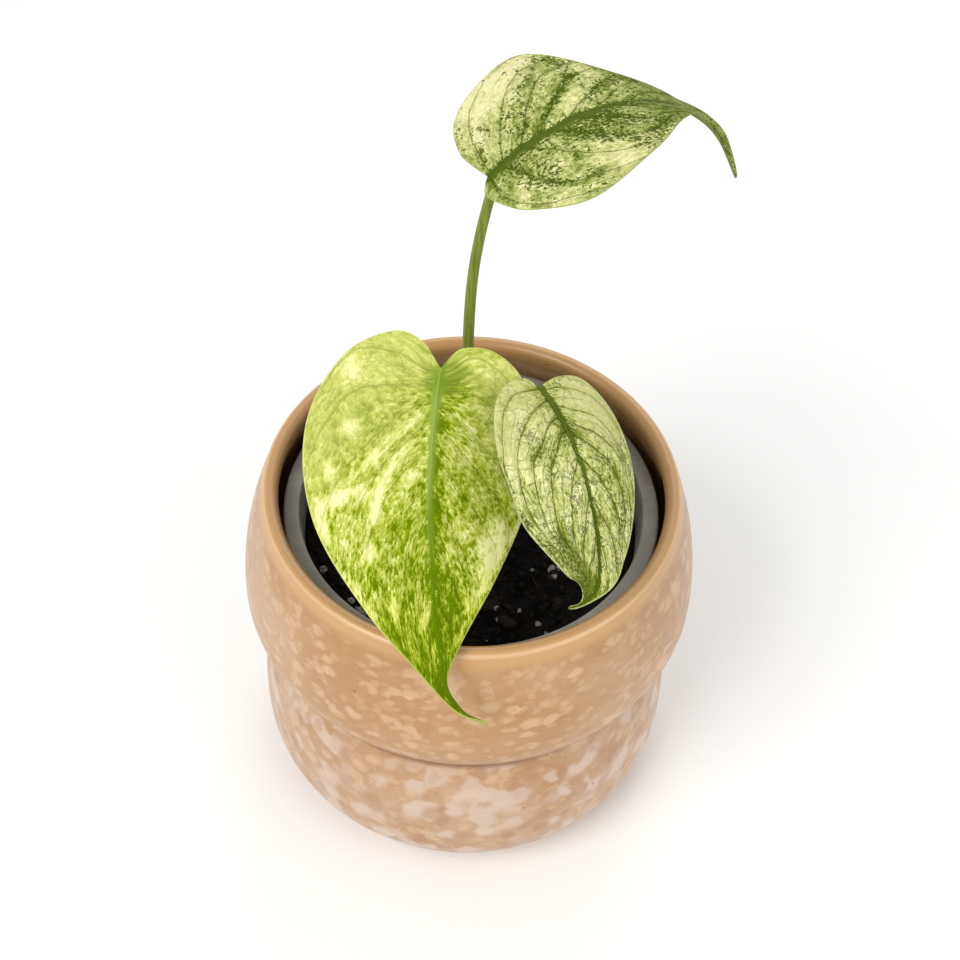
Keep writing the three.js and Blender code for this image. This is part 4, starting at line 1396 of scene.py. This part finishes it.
def petiole(name, material):
    """A stalk from the stem to the underside of its blade, with a sheath at its base."""
    leaf, stalk, p = LEAVES[name], STALKS[name], PETIOLE
    frames = midrib(leaf)
    rise = np.array(stalk["arrival"]) / np.linalg.norm(stalk["arrival"])
    end = blade_point(leaf, frames, np.array(0.0), np.array(stalk["inset"])) - frames["up"][0] * p.drop
    path = curve_through([*stalk["path"], end - rise * p.straight, end], p.curve_steps, 0.5)
    line = evenly(path, p.steps)
    length = np.linalg.norm(np.diff(line, axis=0), axis=1).sum()

    def radius_at(share, angles):
        taper = between(*stalk["radii"], share)
        sheath = p.sheath * math.exp(-((share * length / p.sheath_length) ** 2))
        from_joint = (1 - share) * length - p.joint_at
        joint = p.joint_swell * math.exp(-((from_joint / p.joint_length) ** 2))
        grooved = 1 + sum(depth * np.cos(count * angles) for count, depth in p.grooves)
        return taper * grooved + (sheath + joint) * (1 + p.lopsided * np.cos(angles))

    points, faces = sweep(line, radius_at, p.sides)
    piece(name + "_leaf_stalk", points, faces, material, "stalk", ["petiole_" + name])


def camera():
    """The view of the photograph: looking down on the plant, rolled a little to one side."""
    c = CAMERA
    elevation, roll = math.radians(c.elevation), math.radians(c.roll)
    back = Vector((0, -math.cos(elevation), math.sin(elevation)))
    up = Vector((0, math.sin(elevation), math.cos(elevation)))
    right = Vector((1, 0, 0))
    turned_right = right * math.cos(roll) + up * math.sin(roll)
    turned_up = up * math.cos(roll) - right * math.sin(roll)
    eye = (Vector(c.aim) + back * c.distance) * MM
    lens = bpy.data.cameras.new("view")
    lens.sensor_width = c.sensor
    lens.lens = c.focal_pixels / c.image_pixels * c.sensor
    lens.clip_start = c.nearest * MM
    made = show("view", lens)
    facing = Matrix((turned_right, turned_up, back)).transposed().to_4x4()
    made.matrix_world = Matrix.Translation(eye) @ facing
    bpy.context.scene.camera = made


def studio():
    """A plain pale floor and soft light all round, a little stronger from the upper left."""
    look = Look("pale_floor", FLOOR.pale, Roughness=0.9)
    look.coat(FLOOR.cloud, look.place(0.004).noise())
    mesh = bpy.data.meshes.new("studio_floor")
    reach = FLOOR_REACH * MM
    corners = [(-reach, -reach, 0), (reach, -reach, 0), (reach, reach, 0), (-reach, reach, 0)]
    mesh.from_pydata(corners, [], [(0, 1, 2, 3)])
    mesh.materials.append(look.material)
    floor = show("studio_floor", mesh)
    world = bpy.data.worlds.new("soft_room")
    world.use_nodes = True
    background = world.node_tree.nodes["Background"]
    background.inputs["Color"].default_value = (1, 1, 1, 1)
    background.inputs["Strength"].default_value = ROOM_LIGHT
    bpy.context.scene.world = world
    for name, (place, size, power, tint) in LIGHTS.items():
        data = bpy.data.lights.new(name, "AREA")
        data.size = size * MM
        data.energy = power
        data.color = tint
        lamp = show(name, data)
        lamp.location = Vector(place) * MM
        lamp.rotation_euler = (Vector(LIGHT_AIM) - Vector(place)).to_track_quat("-Z", "Y").to_euler()
    bpy.context.scene.view_settings.view_transform = "Standard"


camera()
green = stalk_green()
cover_pot()
nursery_pot()
soil_body()
soil_bits()
stem_body(green)
for leaf_name in LEAVES:
    petiole(leaf_name, green)
    leaf_blade(leaf_name)
studio()
